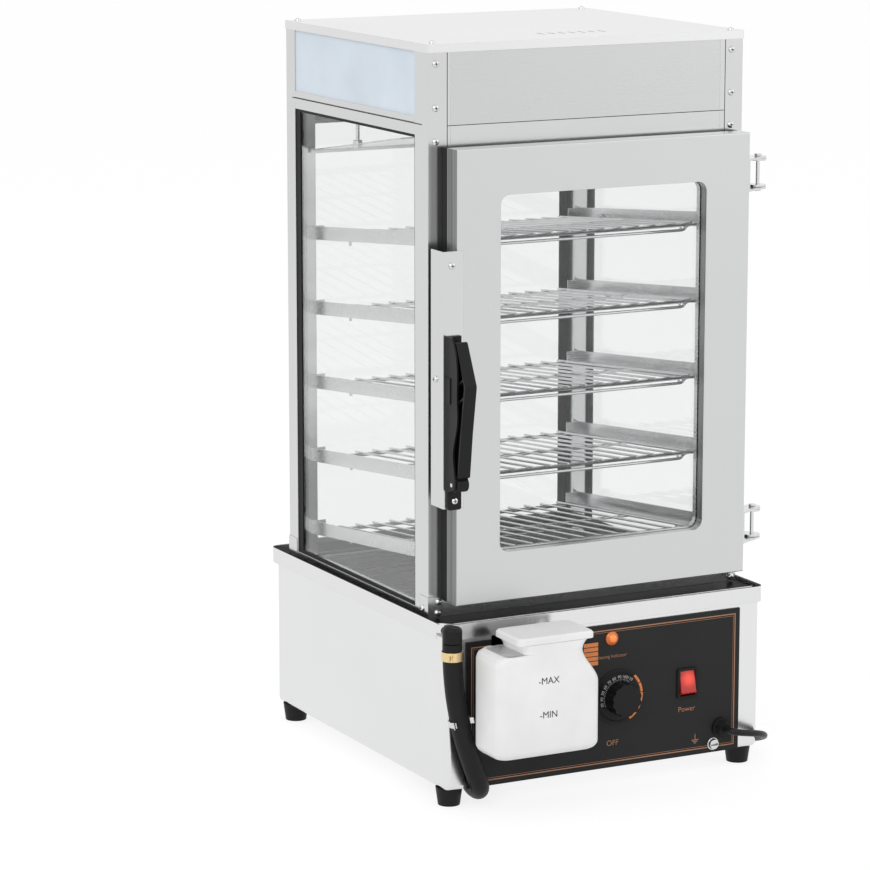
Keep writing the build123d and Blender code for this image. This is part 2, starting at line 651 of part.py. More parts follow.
# Tank bracket: plate on the panel, shelf and upturned lip
BRACKET_L = TANK_L + 24.0
BRACKET_R = TANK_R - 24.0
BRACKET_Z = 116.0
HOOK_Y = TANK_B - 7.0
with BuildPart() as tank_bracket:
    with BuildSketch(Plane.YZ.offset(BRACKET_L)):
        with BuildLine():
            Polyline((PANEL_F, BRACKET_Z - 26), (PANEL_F, BRACKET_Z + 24), (PANEL_F - 1.5, BRACKET_Z + 24),
                     (PANEL_F - 1.5, BRACKET_Z + 1.5), (HOOK_Y, BRACKET_Z + 1.5), (HOOK_Y, BRACKET_Z + 20),
                     (HOOK_Y - 1.5, BRACKET_Z + 20), (HOOK_Y - 1.5, BRACKET_Z), (PANEL_F - 1.5, BRACKET_Z),
                     (PANEL_F - 1.5, BRACKET_Z - 26), (PANEL_F, BRACKET_Z - 26))
        make_face()
    extrude(amount=BRACKET_R - BRACKET_L)
tank_bracket.part.label = "tank_bracket"
export_step(tank_bracket.part, "parts/tank_bracket.step")


def tank_outline(inset):
    """Front outline of the tank: level shoulder on the left, sloping one on the right."""
    left = TANK_L + inset
    right = TANK_R - inset
    bottom = TANK_BOTTOM + inset
    top = NECK_TOP + (1 if inset else 0)
    with BuildLine() as outline:
        FilletPolyline((left, TANK_SHOULDER - inset), (left, bottom), (right, bottom), (right, 146),
                       (NECK_R - inset, 164), (NECK_R - inset, TANK_SHOULDER + 3), radius=9)
        Line((NECK_R - inset, TANK_SHOULDER + 3), (NECK_R + 4 - inset, top))
        Line((NECK_R + 4 - inset, top), (NECK_L - 5 + inset, top))
        Line((NECK_L - 5 + inset, top), (NECK_L + inset, TANK_SHOULDER - inset))
        Line((NECK_L + inset, TANK_SHOULDER - inset), (left, TANK_SHOULDER - inset))
    make_face(outline.edges())


# Water tank: blown shell with a neck, a pocket for the bracket and two ears for the lid
POCKET_TOP = BRACKET_Z + 24.0
TANK_LIFT = 19.0
POCKET_BOTTOM = BRACKET_Z - TANK_LIFT - 2.0
with BuildPart() as tank_hollow:
    with BuildSketch(Plane.XZ.offset(-TANK_B + TANK_WALL)):
        tank_outline(TANK_WALL)
    extrude(amount=TANK_D - 2 * TANK_WALL)
    with BuildSketch(Plane.XY.offset(TANK_BOTTOM)):
        with Locations(((TANK_L + TANK_R) / 2, (TANK_F + TANK_B) / 2)):
            RectangleRounded(TANK_W - 2 * TANK_WALL, TANK_D - 2 * TANK_WALL, TANK_EDGE_R - TANK_WALL)
    extrude(amount=NECK_TOP - TANK_BOTTOM + 2, mode=Mode.INTERSECT)
    slab((BRACKET_L - 4, BRACKET_R + 4), (TANK_B - 13, TANK_B + 1), (POCKET_BOTTOM - 2, POCKET_TOP + 2),
         Mode.SUBTRACT)

with BuildPart() as water_tank:
    with BuildSketch(Plane.XZ.offset(-TANK_B)):
        tank_outline(0)
    extrude(amount=TANK_D)
    with BuildSketch(Plane.XY.offset(TANK_BOTTOM)):
        with Locations(((TANK_L + TANK_R) / 2, (TANK_F + TANK_B) / 2)):
            RectangleRounded(TANK_W, TANK_D, TANK_EDGE_R)
    extrude(amount=NECK_TOP - TANK_BOTTOM, mode=Mode.INTERSECT)
    slab((BRACKET_L - 2, BRACKET_R + 2), (TANK_B - 11, TANK_B + 1), (POCKET_BOTTOM, POCKET_TOP),
         Mode.SUBTRACT)
    add(tank_hollow.part, mode=Mode.SUBTRACT)
    slab((BRACKET_L - 2, BRACKET_R + 2), (TANK_B - 5, TANK_B), (BRACKET_Z + 1.8, POCKET_TOP))
    for ear_x in (LID_R - 24, LID_R - 6):
        slab((ear_x, ear_x + 3), (TANK_B - 3, TANK_B + 4), (NECK_TOP - 8, NECK_TOP + 5))
    rod((LID_R - 24, TANK_B + 2, NECK_TOP + 3), (LID_R - 3, TANK_B + 2, NECK_TOP + 3), 1.0)
water_tank.part.label = "water_tank"
export_step(water_tank.part, "parts/water_tank.step")

# Tank lid: slab with bevelled ends, a locating lip below and a knuckle at the back
LID_Z = NECK_TOP + 0.2
with BuildPart() as tank_lid:
    with BuildSketch(Plane.XY.offset(LID_Z)):
        with Locations(((LID_L + LID_R) / 2, TANK_F + LID_D / 2)):
            RectangleRounded(LID_R - LID_L, LID_D, 6)
    extrude(amount=LID_T)
    chamfer(tank_lid.faces().sort_by(Axis.Z)[-1].edges(), 2)
    with BuildSketch(Plane.XY.offset(LID_Z)):
        with Locations(((NECK_L + NECK_R) / 2, (TANK_F + TANK_B) / 2 - 2)):
            RectangleRounded(NECK_R - NECK_L - 12, TANK_D - 20, 5)
    extrude(amount=-3)
    slab((LID_R - 25, LID_R - 2), (TANK_B - 4, TANK_B + 6), (LID_Z - 1, LID_Z + LID_T + 1), Mode.SUBTRACT)
    slab((LID_R - 20, LID_R - 7), (TANK_B - 5, TANK_B + 2), (LID_Z + 0.8, LID_Z + 4.8))
    rod((LID_R - 20, TANK_B + 2, NECK_TOP + 3), (LID_R - 7, TANK_B + 2, NECK_TOP + 3), 2.4)
    with BuildSketch(Plane(origin=(LID_R - 21, TANK_B + 2, NECK_TOP + 3), z_dir=(1, 0, 0))):
        Circle(1.0 + PIN_GAP)
    extrude(amount=16, mode=Mode.SUBTRACT)
tank_lid.part.label = "tank_lid"
export_step(tank_lid.part, "parts/tank_lid.step")


def post_outline(corner, side_leg, end_leg, depth, x_way, y_way):
    """Closed outline of a folded post, from its outer corner inwards.

    x_way and y_way are 1 or -1 and point from the corner into the cabinet.
    """
    x0, y0 = corner
    tip = GLASS_IN + GLASS_T + RETURN_GAP
    points = [(0, 0), (end_leg, 0), (end_leg, depth), (tip, depth), (tip, depth - SHEET),
              (end_leg - SHEET, depth - SHEET),
              (end_leg - SHEET, SHEET), (SHEET, SHEET), (SHEET, side_leg), (0, side_leg), (0, 0)]
    with BuildLine() as outline:
        Polyline(*[(x0 + x_way * x, y0 + y_way * y) for x, y in points])
    make_face(outline.edges())


# Corner posts
POSTS = {
    "front_left_post": ((CAB_L, CAB_F), POST_SIDE_LEG, POST_FRONT_LEG_L, POST_FRONT_DEPTH, 1, 1),
    "front_right_post": ((CAB_R, CAB_F), POST_SIDE_LEG, POST_FRONT_LEG_R, POST_FRONT_DEPTH, -1, 1),
    "rear_left_post": ((CAB_L, CAB_B), POST_SIDE_LEG_REAR, POST_REAR_LEG, POST_REAR_DEPTH, 1, -1),
    "rear_right_post": ((CAB_R, CAB_B), POST_SIDE_LEG_REAR, POST_REAR_LEG, POST_REAR_DEPTH, -1, -1),
}
for post_name, post_shape in POSTS.items():
    with BuildPart() as post:
        with BuildSketch(Plane.XY.offset(PLINTH_TOP)):
            post_outline(*post_shape)
        extrude(amount=ROOF_UNDER - PLINTH_TOP)
    post.part.label = post_name
    export_step(post.part, f"parts/{post_name}.step")

# Foot caps round the outside of the posts
with BuildPart() as post_caps:
    with BuildSketch(Plane.XY.offset(PLINTH_TOP)):
        for cap_x, cap_y, cap_way, cap_deep, leg in ((CAB_L, CAB_F, 1, 1, DOOR_L - CAB_L - CAP_T),
                                                     (CAB_R, CAB_F, -1, 1, CAB_R - DOOR_R - CAP_T),
                                                     (CAB_L, CAB_B, 1, -1, CAP_LEG),
                                                     (CAB_R, CAB_B, -1, -1, CAP_LEG)):
            with BuildLine():
                Polyline(*[(cap_x + cap_way * x, cap_y + cap_deep * y) for x, y in
                           ((-CAP_T, -CAP_T), (leg, -CAP_T), (leg, 0), (0, 0), (0, 18), (-CAP_T, 18),
                            (-CAP_T, -CAP_T))])
            make_face()
    extrude(amount=CAP_H)
post_caps.part.label = "post_caps"
export_step(post_caps.part, "parts/post_caps.step")

# Cross rails between the posts: lintel and sill at the front, sill at the rear
SPAN_FL = CAB_L + POST_FRONT_LEG_L
SPAN_FR = CAB_R - POST_FRONT_LEG_R
SPAN_BL = CAB_L + POST_REAR_LEG
SPAN_BR = CAB_R - POST_REAR_LEG
with BuildPart() as cross_rails:
    for bottom, height in ((PLINTH_TOP, SILL_H), (HEADER_BOTTOM - LINTEL_H, LINTEL_H)):
        slab((SPAN_FL, SPAN_FR), (CAB_F, CAB_F + RAIL_DEPTH), (bottom, bottom + height))
        slab((SPAN_FL - 1, SPAN_FR + 1), (CAB_F + SHEET, CAB_F + RAIL_DEPTH + 1),
             (bottom + SHEET, bottom + height - SHEET),
             Mode.SUBTRACT)
    slab((SPAN_BL, SPAN_BR), (CAB_B - 12, CAB_B), (PLINTH_TOP, PLINTH_TOP + REAR_SILL_H))
    slab((SPAN_BL - 1, SPAN_BR + 1), (CAB_B - 13, CAB_B - SHEET),
         (PLINTH_TOP + SHEET, PLINTH_TOP + REAR_SILL_H + 1),
         Mode.SUBTRACT)
cross_rails.part.label = "cross_rails"
export_step(cross_rails.part, "parts/cross_rails.step")

# Header panels front and rear, each with a flange under the roof
REAR_HEADER_BOTTOM = 640.0
with BuildPart() as header_panels:
    slab((SPAN_FL, SPAN_FR), (CAB_F, CAB_F + SHEET), (HEADER_BOTTOM, ROOF_UNDER))
    slab((SPAN_FL, SPAN_FR), (CAB_F, CAB_F + 14), (ROOF_UNDER - SHEET, ROOF_UNDER))
    slab((SPAN_BL, SPAN_BR), (CAB_B - SHEET, CAB_B), (REAR_HEADER_BOTTOM, ROOF_UNDER))
    slab((SPAN_BL, SPAN_BR), (CAB_B - 14, CAB_B), (ROOF_UNDER - SHEET, ROOF_UNDER))
header_panels.part.label = "header_panels"
export_step(header_panels.part, "parts/header_panels.step")

# Side rails: upper ones with a groove and a ledge, lower ones on the plinth
SIDE_F = CAB_F + POST_SIDE_LEG
SIDE_B = CAB_B - POST_SIDE_LEG_REAR
LEDGE_Z = SIDE_RAIL_BOTTOM + SIDE_RAIL_LEDGE
LEDGE_B = CAB_B - POST_REAR_DEPTH - RETURN_GAP
with BuildPart() as side_rails:
    for rail_x, rail_way in ((CAB_L, 1), (CAB_R, -1)):
        for z_low, z_high, ledge_low in ((SIDE_RAIL_BOTTOM, SIDE_RAIL_BOTTOM + SIDE_RAIL_H, LEDGE_Z),
                                         (PLINTH_TOP, PLINTH_TOP + LOW_RAIL_H, PLINTH_TOP)):
            web = sorted((rail_x, rail_x + rail_way * SHEET))
            ledge = sorted((rail_x, rail_x + rail_way * (SHEET + SIDE_RAIL_LEDGE_W)))
            slab(web, (SIDE_F, SIDE_B), (z_low, z_high))
            slab(ledge, (SIDE_F, LEDGE_B), (ledge_low, ledge_low + SHEET))
        groove_z = SIDE_RAIL_BOTTOM + 11.0
        slab((rail_x - 0.5, rail_x + 0.5), (SIDE_F - 1, SIDE_B + 1), (groove_z, groove_z + 0.8),
             Mode.SUBTRACT)
side_rails.part.label = "side_rails"
export_step(side_rails.part, "parts/side_rails.step")

# Roof: folded cap with vents near the front
ROOF_OUT = SHEET + TOUCH
with BuildPart() as roof:
    with BuildSketch(Plane.XY.offset(ROOF_TOP - ROOF_SKIRT)):
        with Locations((CAB_X, CAB_Y)):
            RectangleRounded(CAB_W + 2 * ROOF_OUT, CAB_D + 2 * ROOF_OUT, 2)
    extrude(amount=ROOF_SKIRT)
    with BuildSketch(Plane.XY.offset(ROOF_TOP - ROOF_SKIRT)):
        with Locations((CAB_X, CAB_Y)):
            Rectangle(CAB_W + 2 * TOUCH, CAB_D + 2 * TOUCH)
    extrude(amount=ROOF_SKIRT - SHEET, mode=Mode.SUBTRACT)
    with BuildSketch(Plane.XY.offset(ROOF_TOP)):
        with Locations((CAB_X + 11, CAB_F + 55)):
            with GridLocations(11.5, 0, 7, 1):
                SlotOverall(17, 3, rotation=90)
    extrude(amount=-2 * SHEET, mode=Mode.SUBTRACT)
roof.part.label = "roof"
export_step(roof.part, "parts/roof.step")

# Light windows: pale diffusers behind the side openings of the header
WINDOW_BOTTOM = SIDE_RAIL_BOTTOM + SIDE_RAIL_H - 4.0
with BuildPart() as light_windows:
    for window_x in (CAB_L + SHEET, CAB_R - SHEET - WINDOW_T):
        slab((window_x, window_x + WINDOW_T), (SIDE_F - 5, SIDE_B + 5), (WINDOW_BOTTOM, ROOF_UNDER - 1))
light_windows.part.label = "light_windows"
export_step(light_windows.part, "parts/light_windows.step")

# Ceiling panel: floor of the light box, on the ledges of the side rails
CEILING_Z = LEDGE_Z + SHEET
RETURN_X = GLASS_IN + GLASS_T + RETURN_GAP
with BuildPart() as ceiling_panel:
    slab((CAB_L + RETURN_X, CAB_R - RETURN_X), (CAB_F + RAIL_DEPTH + 1, CAB_B - POST_REAR_DEPTH - 1),
         (CEILING_Z, CEILING_Z + SHEET))
ceiling_panel.part.label = "ceiling_panel"
export_step(ceiling_panel.part, "parts/ceiling_panel.step")

# Light tube with its two holders, standing on the ceiling panel
TUBE_Z = 706.0
with BuildPart() as light_tube:
    rod((CAB_X, CAB_Y - 120, TUBE_Z), (CAB_X, CAB_Y + 120, TUBE_Z), 8)
    for holder_y in (CAB_Y - 124, CAB_Y + 114):
        slab((CAB_X - 10, CAB_X + 10), (holder_y, holder_y + 10), (CEILING_Z + SHEET, TUBE_Z + 10))
light_tube.part.label = "light_tube"
export_step(light_tube.part, "parts/light_tube.step")

# Drip ceiling: sheet sloping down to the rear, hung from the ceiling panel by two nuts
DRIP_F = CAB_F + 87.0
DRIP_B = CAB_B - 26.0
DRIP_FRONT_Z = 649.0
DRIP_SLOPE = 0.16
HANGER_Y = CAB_Y + 33.0
HANGER_Z = DRIP_FRONT_Z - DRIP_SLOPE * (HANGER_Y - DRIP_F)
DRIP_L = CAB_L + 17.0
DRIP_R = CAB_R - 17.0
with BuildPart() as drip_ceiling:
    with BuildSketch(Plane.YZ.offset(DRIP_L)):
        with BuildLine():
            Polyline((DRIP_F, DRIP_FRONT_Z), (DRIP_B, DRIP_FRONT_Z - DRIP_SLOPE * (DRIP_B - DRIP_F)),
                     (DRIP_B, DRIP_FRONT_Z - DRIP_SLOPE * (DRIP_B - DRIP_F) - 4),
                     (DRIP_B - 1, DRIP_FRONT_Z - DRIP_SLOPE * (DRIP_B - DRIP_F) - 4),
                     (DRIP_B - 1, DRIP_FRONT_Z - DRIP_SLOPE * (DRIP_B - 1 - DRIP_F) - 1.2),
                     (DRIP_F, DRIP_FRONT_Z - 1.2), (DRIP_F, DRIP_FRONT_Z))
        make_face()
    extrude(amount=DRIP_R - DRIP_L)
    for hanger_x in (DRIP_L + 5, DRIP_R - 5):
        rod((hanger_x, HANGER_Y, HANGER_Z - 4.5), (hanger_x, HANGER_Y, HANGER_Z + 3.5), 4.6)
        rod((hanger_x, HANGER_Y, HANGER_Z), (hanger_x, HANGER_Y, CEILING_Z), 2)
drip_ceiling.part.label = "drip_ceiling"
export_step(drip_ceiling.part, "parts/drip_ceiling.step")

# Side glass, held between the posts' outer legs and their returns
SIDE_GLASS_BOTTOM = PLINTH_TOP + SHEET + TOUCH
SIDE_GLASS_TOP = LEDGE_Z - 1.0
for glass_name, glass_x in (("left_glass", CAB_L + GLASS_IN), ("right_glass", CAB_R - GLASS_IN - GLASS_T)):
    with BuildPart() as side_glass:
        slab((glass_x, glass_x + GLASS_T), (CAB_F + 12, CAB_B - 12), (SIDE_GLASS_BOTTOM, SIDE_GLASS_TOP))
    side_glass.part.label = glass_name
    export_step(side_glass.part, f"parts/{glass_name}.step")

# Rear glass, between the rear posts and behind the rear sill's upstand
REAR_GLASS_TOP = REAR_HEADER_BOTTOM + 12.0
with BuildPart() as rear_glass:
    slab((SPAN_BL + FIT, SPAN_BR - FIT), (CAB_B - GLASS_IN - GLASS_T, CAB_B - GLASS_IN),
         (SIDE_GLASS_BOTTOM, REAR_GLASS_TOP))
rear_glass.part.label = "rear_glass"
export_step(rear_glass.part, "parts/rear_glass.step")

# Black seals between the glass and the metal, wider at the rear edge of each side
SEAL_EDGE = 3.0
SEAL_REAR = 10.0
with BuildPart() as glass_seals:
    for seal_x in (CAB_L + SHEET, CAB_R - SHEET - SEAL_T):
        slab((seal_x, seal_x + SEAL_T), (CAB_F + 12, CAB_B - 12), (SIDE_GLASS_BOTTOM, SIDE_GLASS_TOP))
        slab((seal_x, seal_x + SEAL_T), (SIDE_F + SEAL_EDGE, SIDE_B - SEAL_REAR),
             (PLINTH_TOP + LOW_RAIL_H + SEAL_EDGE, SIDE_RAIL_BOTTOM - SEAL_EDGE), Mode.SUBTRACT)
    sheet_ring(SPAN_BL + FIT, SPAN_BR - FIT, SIDE_GLASS_BOTTOM, REAR_GLASS_TOP, CAB_B - GLASS_IN, SEAL_T, 8)
glass_seals.part.label = "glass_seals"
export_step(glass_seals.part, "parts/glass_seals.step")

# Shelf rails: bent strips that rise to the front, with a tab at each end
RAIL_REAR_Y = CAB_B - POST_REAR_DEPTH
RAIL_FRONT_Y = CAB_F + POST_FRONT_DEPTH
RAIL_RUN = RAIL_REAR_Y - RAIL_FRONT_Y
for rails_name, rail_x, way in (("left_shelf_rails", CAB_L + RAIL_OFF_L, 1),
                                ("right_shelf_rails", CAB_R - RAIL_OFF_R, -1)):
    with BuildPart() as shelf_rails:
        for level in range(LEVELS):
            rear_z = RAIL_FIRST_Z + LEVEL_PITCH * level
            front_z = rear_z + RAIL_SLOPE * RAIL_RUN
            with BuildSketch(Plane.YZ.offset(rail_x)):
                with BuildLine():
                    Polyline((RAIL_REAR_Y, rear_z), (RAIL_FRONT_Y, front_z),
                             (RAIL_FRONT_Y, front_z + RAIL_LEG),
                             (RAIL_REAR_Y, rear_z + RAIL_LEG), (RAIL_REAR_Y, rear_z))
                make_face()
            extrude(amount=way * RAIL_T)
            with BuildSketch(Plane.YZ.offset(rail_x)):
                with BuildLine():
                    Polyline((RAIL_REAR_Y, rear_z), (RAIL_FRONT_Y, front_z),
                             (RAIL_FRONT_Y, front_z + RAIL_T),
                             (RAIL_REAR_Y, rear_z + RAIL_T), (RAIL_REAR_Y, rear_z))
                make_face()
            extrude(amount=way * RAIL_FOOT)
            tab_in = sorted((rail_x, rail_x + way * RAIL_TAB_REAR))
            slab(tab_in, (RAIL_REAR_Y - RAIL_T, RAIL_REAR_Y), (rear_z + 0.5, rear_z + RAIL_LEG))
            tab_out = sorted((rail_x, rail_x - way * RAIL_TAB_FRONT))
            slab(tab_out, (RAIL_FRONT_Y, RAIL_FRONT_Y + RAIL_T), (front_z, front_z + RAIL_LEG - 0.5))
    shelf_rails.part.label = rails_name
    export_step(shelf_rails.part, f"parts/{rails_name}.step")

# Racks: a wire frame with a stepped second front wire, rods on top and two stop hooks
RACK_L = SPAN_FL + RACK_SIDE_GAP + RACK_WIRE_R
RACK_R = SPAN_FR - RACK_SIDE_GAP - RACK_WIRE_R
ROD_COUNT = 14
HOOK_R = 1.5
MIDDLE_UP = -0.3
HOOK_L_X = CAB_L + RAIL_OFF_L + RAIL_FOOT + TOUCH + HOOK_R
HOOK_R_X = CAB_R - RAIL_OFF_R - RAIL_FOOT - TOUCH - HOOK_R
UP = Vector(0, RAIL_SLOPE, 1).normalized()
FORWARD = Vector(0, -1, RAIL_SLOPE).normalized()
RAIL_TOP = RAIL_FIRST_Z + RAIL_T + RAIL_SLOPE * (RAIL_REAR_Y - RACK_REAR_Y)
RACK_ORIGIN = Vector(0, RACK_REAR_Y, RAIL_TOP) + UP * (RACK_WIRE_R + TOUCH)


def on_rack(x, forward, up=0.0):
    """A point of the lowest rack, measured from its rear edge along its tilted plane."""
    return tuple(RACK_ORIGIN + Vector(x, 0, 0) + FORWARD * forward + UP * up)


with BuildPart() as rack_wires:
    for side_x, hook_x, hook_at in ((RACK_L, HOOK_L_X, 55), (RACK_R, HOOK_R_X, 225)):
        rod(on_rack(side_x, -RACK_WIRE_R), on_rack(side_x, RACK_DEPTH + RACK_WIRE_R), RACK_WIRE_R)
        rod(on_rack(side_x, hook_at), on_rack(hook_x, hook_at), HOOK_R - 0.2)
        rod(on_rack(hook_x, hook_at, 1.9), on_rack(hook_x, hook_at, -9), HOOK_R)
    for cross in (0, RACK_DEPTH):
        rod(on_rack(RACK_L, cross), on_rack(RACK_R, cross), RACK_WIRE_R - 0.2)
    rod(on_rack(RACK_L, RACK_DEPTH / 2, MIDDLE_UP), on_rack(RACK_R, RACK_DEPTH / 2, MIDDLE_UP), HOOK_R)
    with BuildSketch(Plane(origin=on_rack((RACK_L + RACK_R) / 2, -1, 2.5), x_dir=(1, 0, 0), z_dir=FORWARD)):
        with GridLocations(ROD_PITCH, 0, ROD_COUNT, 1):
            RegularPolygon(ROD_R, 6)
    extrude(amount=RACK_DEPTH + 2)
    rod(on_rack(RACK_L + 22, RACK_DEPTH - 4, -5), on_rack(RACK_R - 22, RACK_DEPTH - 4, -5), HOOK_R - 0.2)
    for step_x in (RACK_L + 26, RACK_R - 26):
        rod(on_rack(step_x, RACK_DEPTH - 4.2, -6), on_rack(step_x, RACK_DEPTH + 0.2, 0.3), HOOK_R)
for level in range(LEVELS):
    with BuildPart() as rack:
        with Locations((0, 0, LEVEL_PITCH * level)):
            add(rack_wires.part)
    rack.part.label = f"rack_{level + 1}"
    export_step(rack.part, f"parts/rack_{level + 1}.step")

# Door frame: folded pan with a window and a lip for the glass
with BuildPart() as door_frame:
    with BuildSketch(Plane.XZ.offset(-DOOR_BACK)):
        with Locations(((DOOR_L + DOOR_R) / 2, (DOOR_BOTTOM + DOOR_TOP) / 2)):
            Rectangle(DOOR_R - DOOR_L, DOOR_TOP - DOOR_BOTTOM)
    extrude(amount=DOOR_T)
    offset(amount=-SHEET, openings=door_frame.faces().sort_by(Axis.Y)[-1])
    with BuildSketch(Plane.XZ.offset(-DOOR_FRONT - SHEET)):
        with Locations(((WIN_L + WIN_R) / 2, (WIN_BOTTOM + WIN_TOP) / 2)):
            RectangleRounded(WIN_R - WIN_L + 2 * SHEET, WIN_TOP - WIN_BOTTOM + 2 * SHEET,
                             WIN_CORNER_R + SHEET)
    extrude(amount=-(WIN_LIP - SHEET))
    with BuildSketch(Plane.XZ.offset(-DOOR_FRONT)):
        with Locations(((WIN_L + WIN_R) / 2, (WIN_BOTTOM + WIN_TOP) / 2)):
            RectangleRounded(WIN_R - WIN_L, WIN_TOP - WIN_BOTTOM, WIN_CORNER_R)
    extrude(amount=-DOOR_T, mode=Mode.SUBTRACT)
    fillet(door_frame.faces().sort_by(Axis.Y)[0].outer_wire().edges(), 1.0)
door_frame.part.label = "door_frame"
export_step(door_frame.part, "parts/door_frame.step")

# Door glass behind the lip
DOOR_GLASS_F = DOOR_FRONT + WIN_LIP
with BuildPart() as door_glass:
    with BuildSketch(Plane.XZ.offset(-DOOR_GLASS_F)):
        with Locations(((WIN_L + WIN_R) / 2, (WIN_BOTTOM + WIN_TOP) / 2)):
            RectangleRounded(WIN_R - WIN_L + 10, WIN_TOP - WIN_BOTTOM + 10, WIN_CORNER_R)
    extrude(amount=-GLASS_T)
door_glass.part.label = "door_glass"
export_step(door_glass.part, "parts/door_glass.step")

# Door liner: back plate with a rim that presses on the glass
with BuildPart() as door_liner:
    with BuildSketch(Plane.XZ.offset(-DOOR_BACK)):
        with Locations(((DOOR_L + DOOR_R) / 2, (DOOR_BOTTOM + DOOR_TOP) / 2)):
            Rectangle(DOOR_R - DOOR_L - 2 * SHEET - 2 * TOUCH,
                      DOOR_TOP - DOOR_BOTTOM - 2 * SHEET - 2 * TOUCH)
    extrude(amount=SHEET)
    with BuildSketch(Plane.XZ.offset(-DOOR_BACK)):
        with Locations(((WIN_L + WIN_R) / 2, (WIN_BOTTOM + WIN_TOP) / 2)):
            RectangleRounded(WIN_R - WIN_L + 2 * SHEET, WIN_TOP - WIN_BOTTOM + 2 * SHEET,
                             WIN_CORNER_R + SHEET)
    extrude(amount=DOOR_T - WIN_LIP - GLASS_T)
    with BuildSketch(Plane.XZ.offset(-DOOR_BACK)):
        with Locations(((WIN_L + WIN_R) / 2, (WIN_BOTTOM + WIN_TOP) / 2)):
            RectangleRounded(WIN_R - WIN_L, WIN_TOP - WIN_BOTTOM, WIN_CORNER_R)
    extrude(amount=DOOR_T, mode=Mode.SUBTRACT)
door_liner.part.label = "door_liner"
export_step(door_liner.part, "parts/door_liner.step")

# Door seal: a ring on the back of the door
with BuildPart() as door_seal:
    sheet_ring(DOOR_L + FIT, DOOR_R - FIT, DOOR_BOTTOM + FIT, DOOR_TOP - FIT, DOOR_BACK, SEAL_DEPTH - FIT,
               SEAL_W)
door_seal.part.label = "door_seal"
export_step(door_seal.part, "parts/door_seal.step")

# Latch plate: folded strip that covers the gap at the door's left edge
with BuildPart() as latch_plate:
    with BuildSketch(Plane.XY.offset(LATCH_BOTTOM)):
        with BuildLine():
            Polyline((LATCH_L - SHEET, DOOR_FRONT - SHEET), (LATCH_RIGHT, DOOR_FRONT - SHEET),
                     (LATCH_RIGHT, DOOR_FRONT),
                     (LATCH_L, DOOR_FRONT), (LATCH_L, DOOR_FRONT + LATCH_FLANK - SHEET),
                     (LATCH_L - SHEET, DOOR_FRONT + LATCH_FLANK - SHEET),
                     (LATCH_L - SHEET, DOOR_FRONT - SHEET))
        make_face()
    extrude(amount=LATCH_TOP - LATCH_BOTTOM)
latch_plate.part.label = "latch_plate"
export_step(latch_plate.part, "parts/latch_plate.step")

# Handle base: flange, wavy cheek and pivot boss
HANDLE_BACK = DOOR_FRONT - SHEET
HANDLE_FACE = HANDLE_BACK - HANDLE_FLANGE
with BuildPart() as handle_base:
    slab((HANDLE_L, HANDLE_L + HANDLE_W), (HANDLE_FACE, HANDLE_BACK), (HANDLE_BOTTOM, HANDLE_TOP))
    fillet(handle_base.edges().filter_by(Axis.Y).group_by(Axis.Z)[0], 2.5)
    with BuildSketch(Plane.YZ.offset(HANDLE_L)):
        with BuildLine():
            Spline((PIVOT_Y - 5, PIVOT_Z - 4), (PIVOT_Y - 4, PIVOT_Z + 16), (PIVOT_Y - 2, PIVOT_Z + 30),
                   (PIVOT_Y - 6, PIVOT_Z + 46), (PIVOT_Y - 11, PIVOT_Z + 66), (PIVOT_Y - 10, PIVOT_Z + 84),
                   (PIVOT_Y - 10.5, PIVOT_Z + 102), (PIVOT_Y + 1, HANDLE_TOP))
            Polyline((PIVOT_Y + 1, HANDLE_TOP), (HANDLE_BACK, HANDLE_TOP), (HANDLE_BACK, PIVOT_Z - 10),
                     (PIVOT_Y - 5, PIVOT_Z - 4))
        make_face()
        with Locations((PIVOT_Y, PIVOT_Z)):
            Circle(PIVOT_R, mode=Mode.SUBTRACT)
    extrude(amount=CHEEK_T)
    slab((HANDLE_L - 1, HANDLE_L), (HANDLE_BACK - 9, HANDLE_BACK), (405, 430))
handle_base.part.label = "handle_base"
export_step(handle_base.part, "parts/handle_base.step")

# Handle lever: bowed grip, open on its left side, with two cross ribs
LEVER_L = HANDLE_L + CHEEK_T + FIT
LEVER_BACK = HANDLE_FACE - 0.6
LEVER_GRIP = DOOR_FRONT - 36.0


def lever_outline(inset):
    """Side outline of the lever, drawn in by inset."""
    with BuildLine() as outline:
        FilletPolyline((LEVER_BACK - inset, PIVOT_Z + inset), (LEVER_BACK - inset, PIVOT_Z + 134 - inset),
                       (PIVOT_Y - 3 - inset / 2, PIVOT_Z + 141 - inset), (LEVER_GRIP + inset, PIVOT_Z + 99),
                       (LEVER_GRIP + 8 + inset, PIVOT_Z + 52), (PIVOT_Y - 9.5 + inset, PIVOT_Z + 8 + inset),
                       radius=(3, 3, 8, 20))
        Line((PIVOT_Y - 9.5 + inset, PIVOT_Z + 8 + inset), (LEVER_BACK - inset, PIVOT_Z + inset))
    make_face(outline.edges())


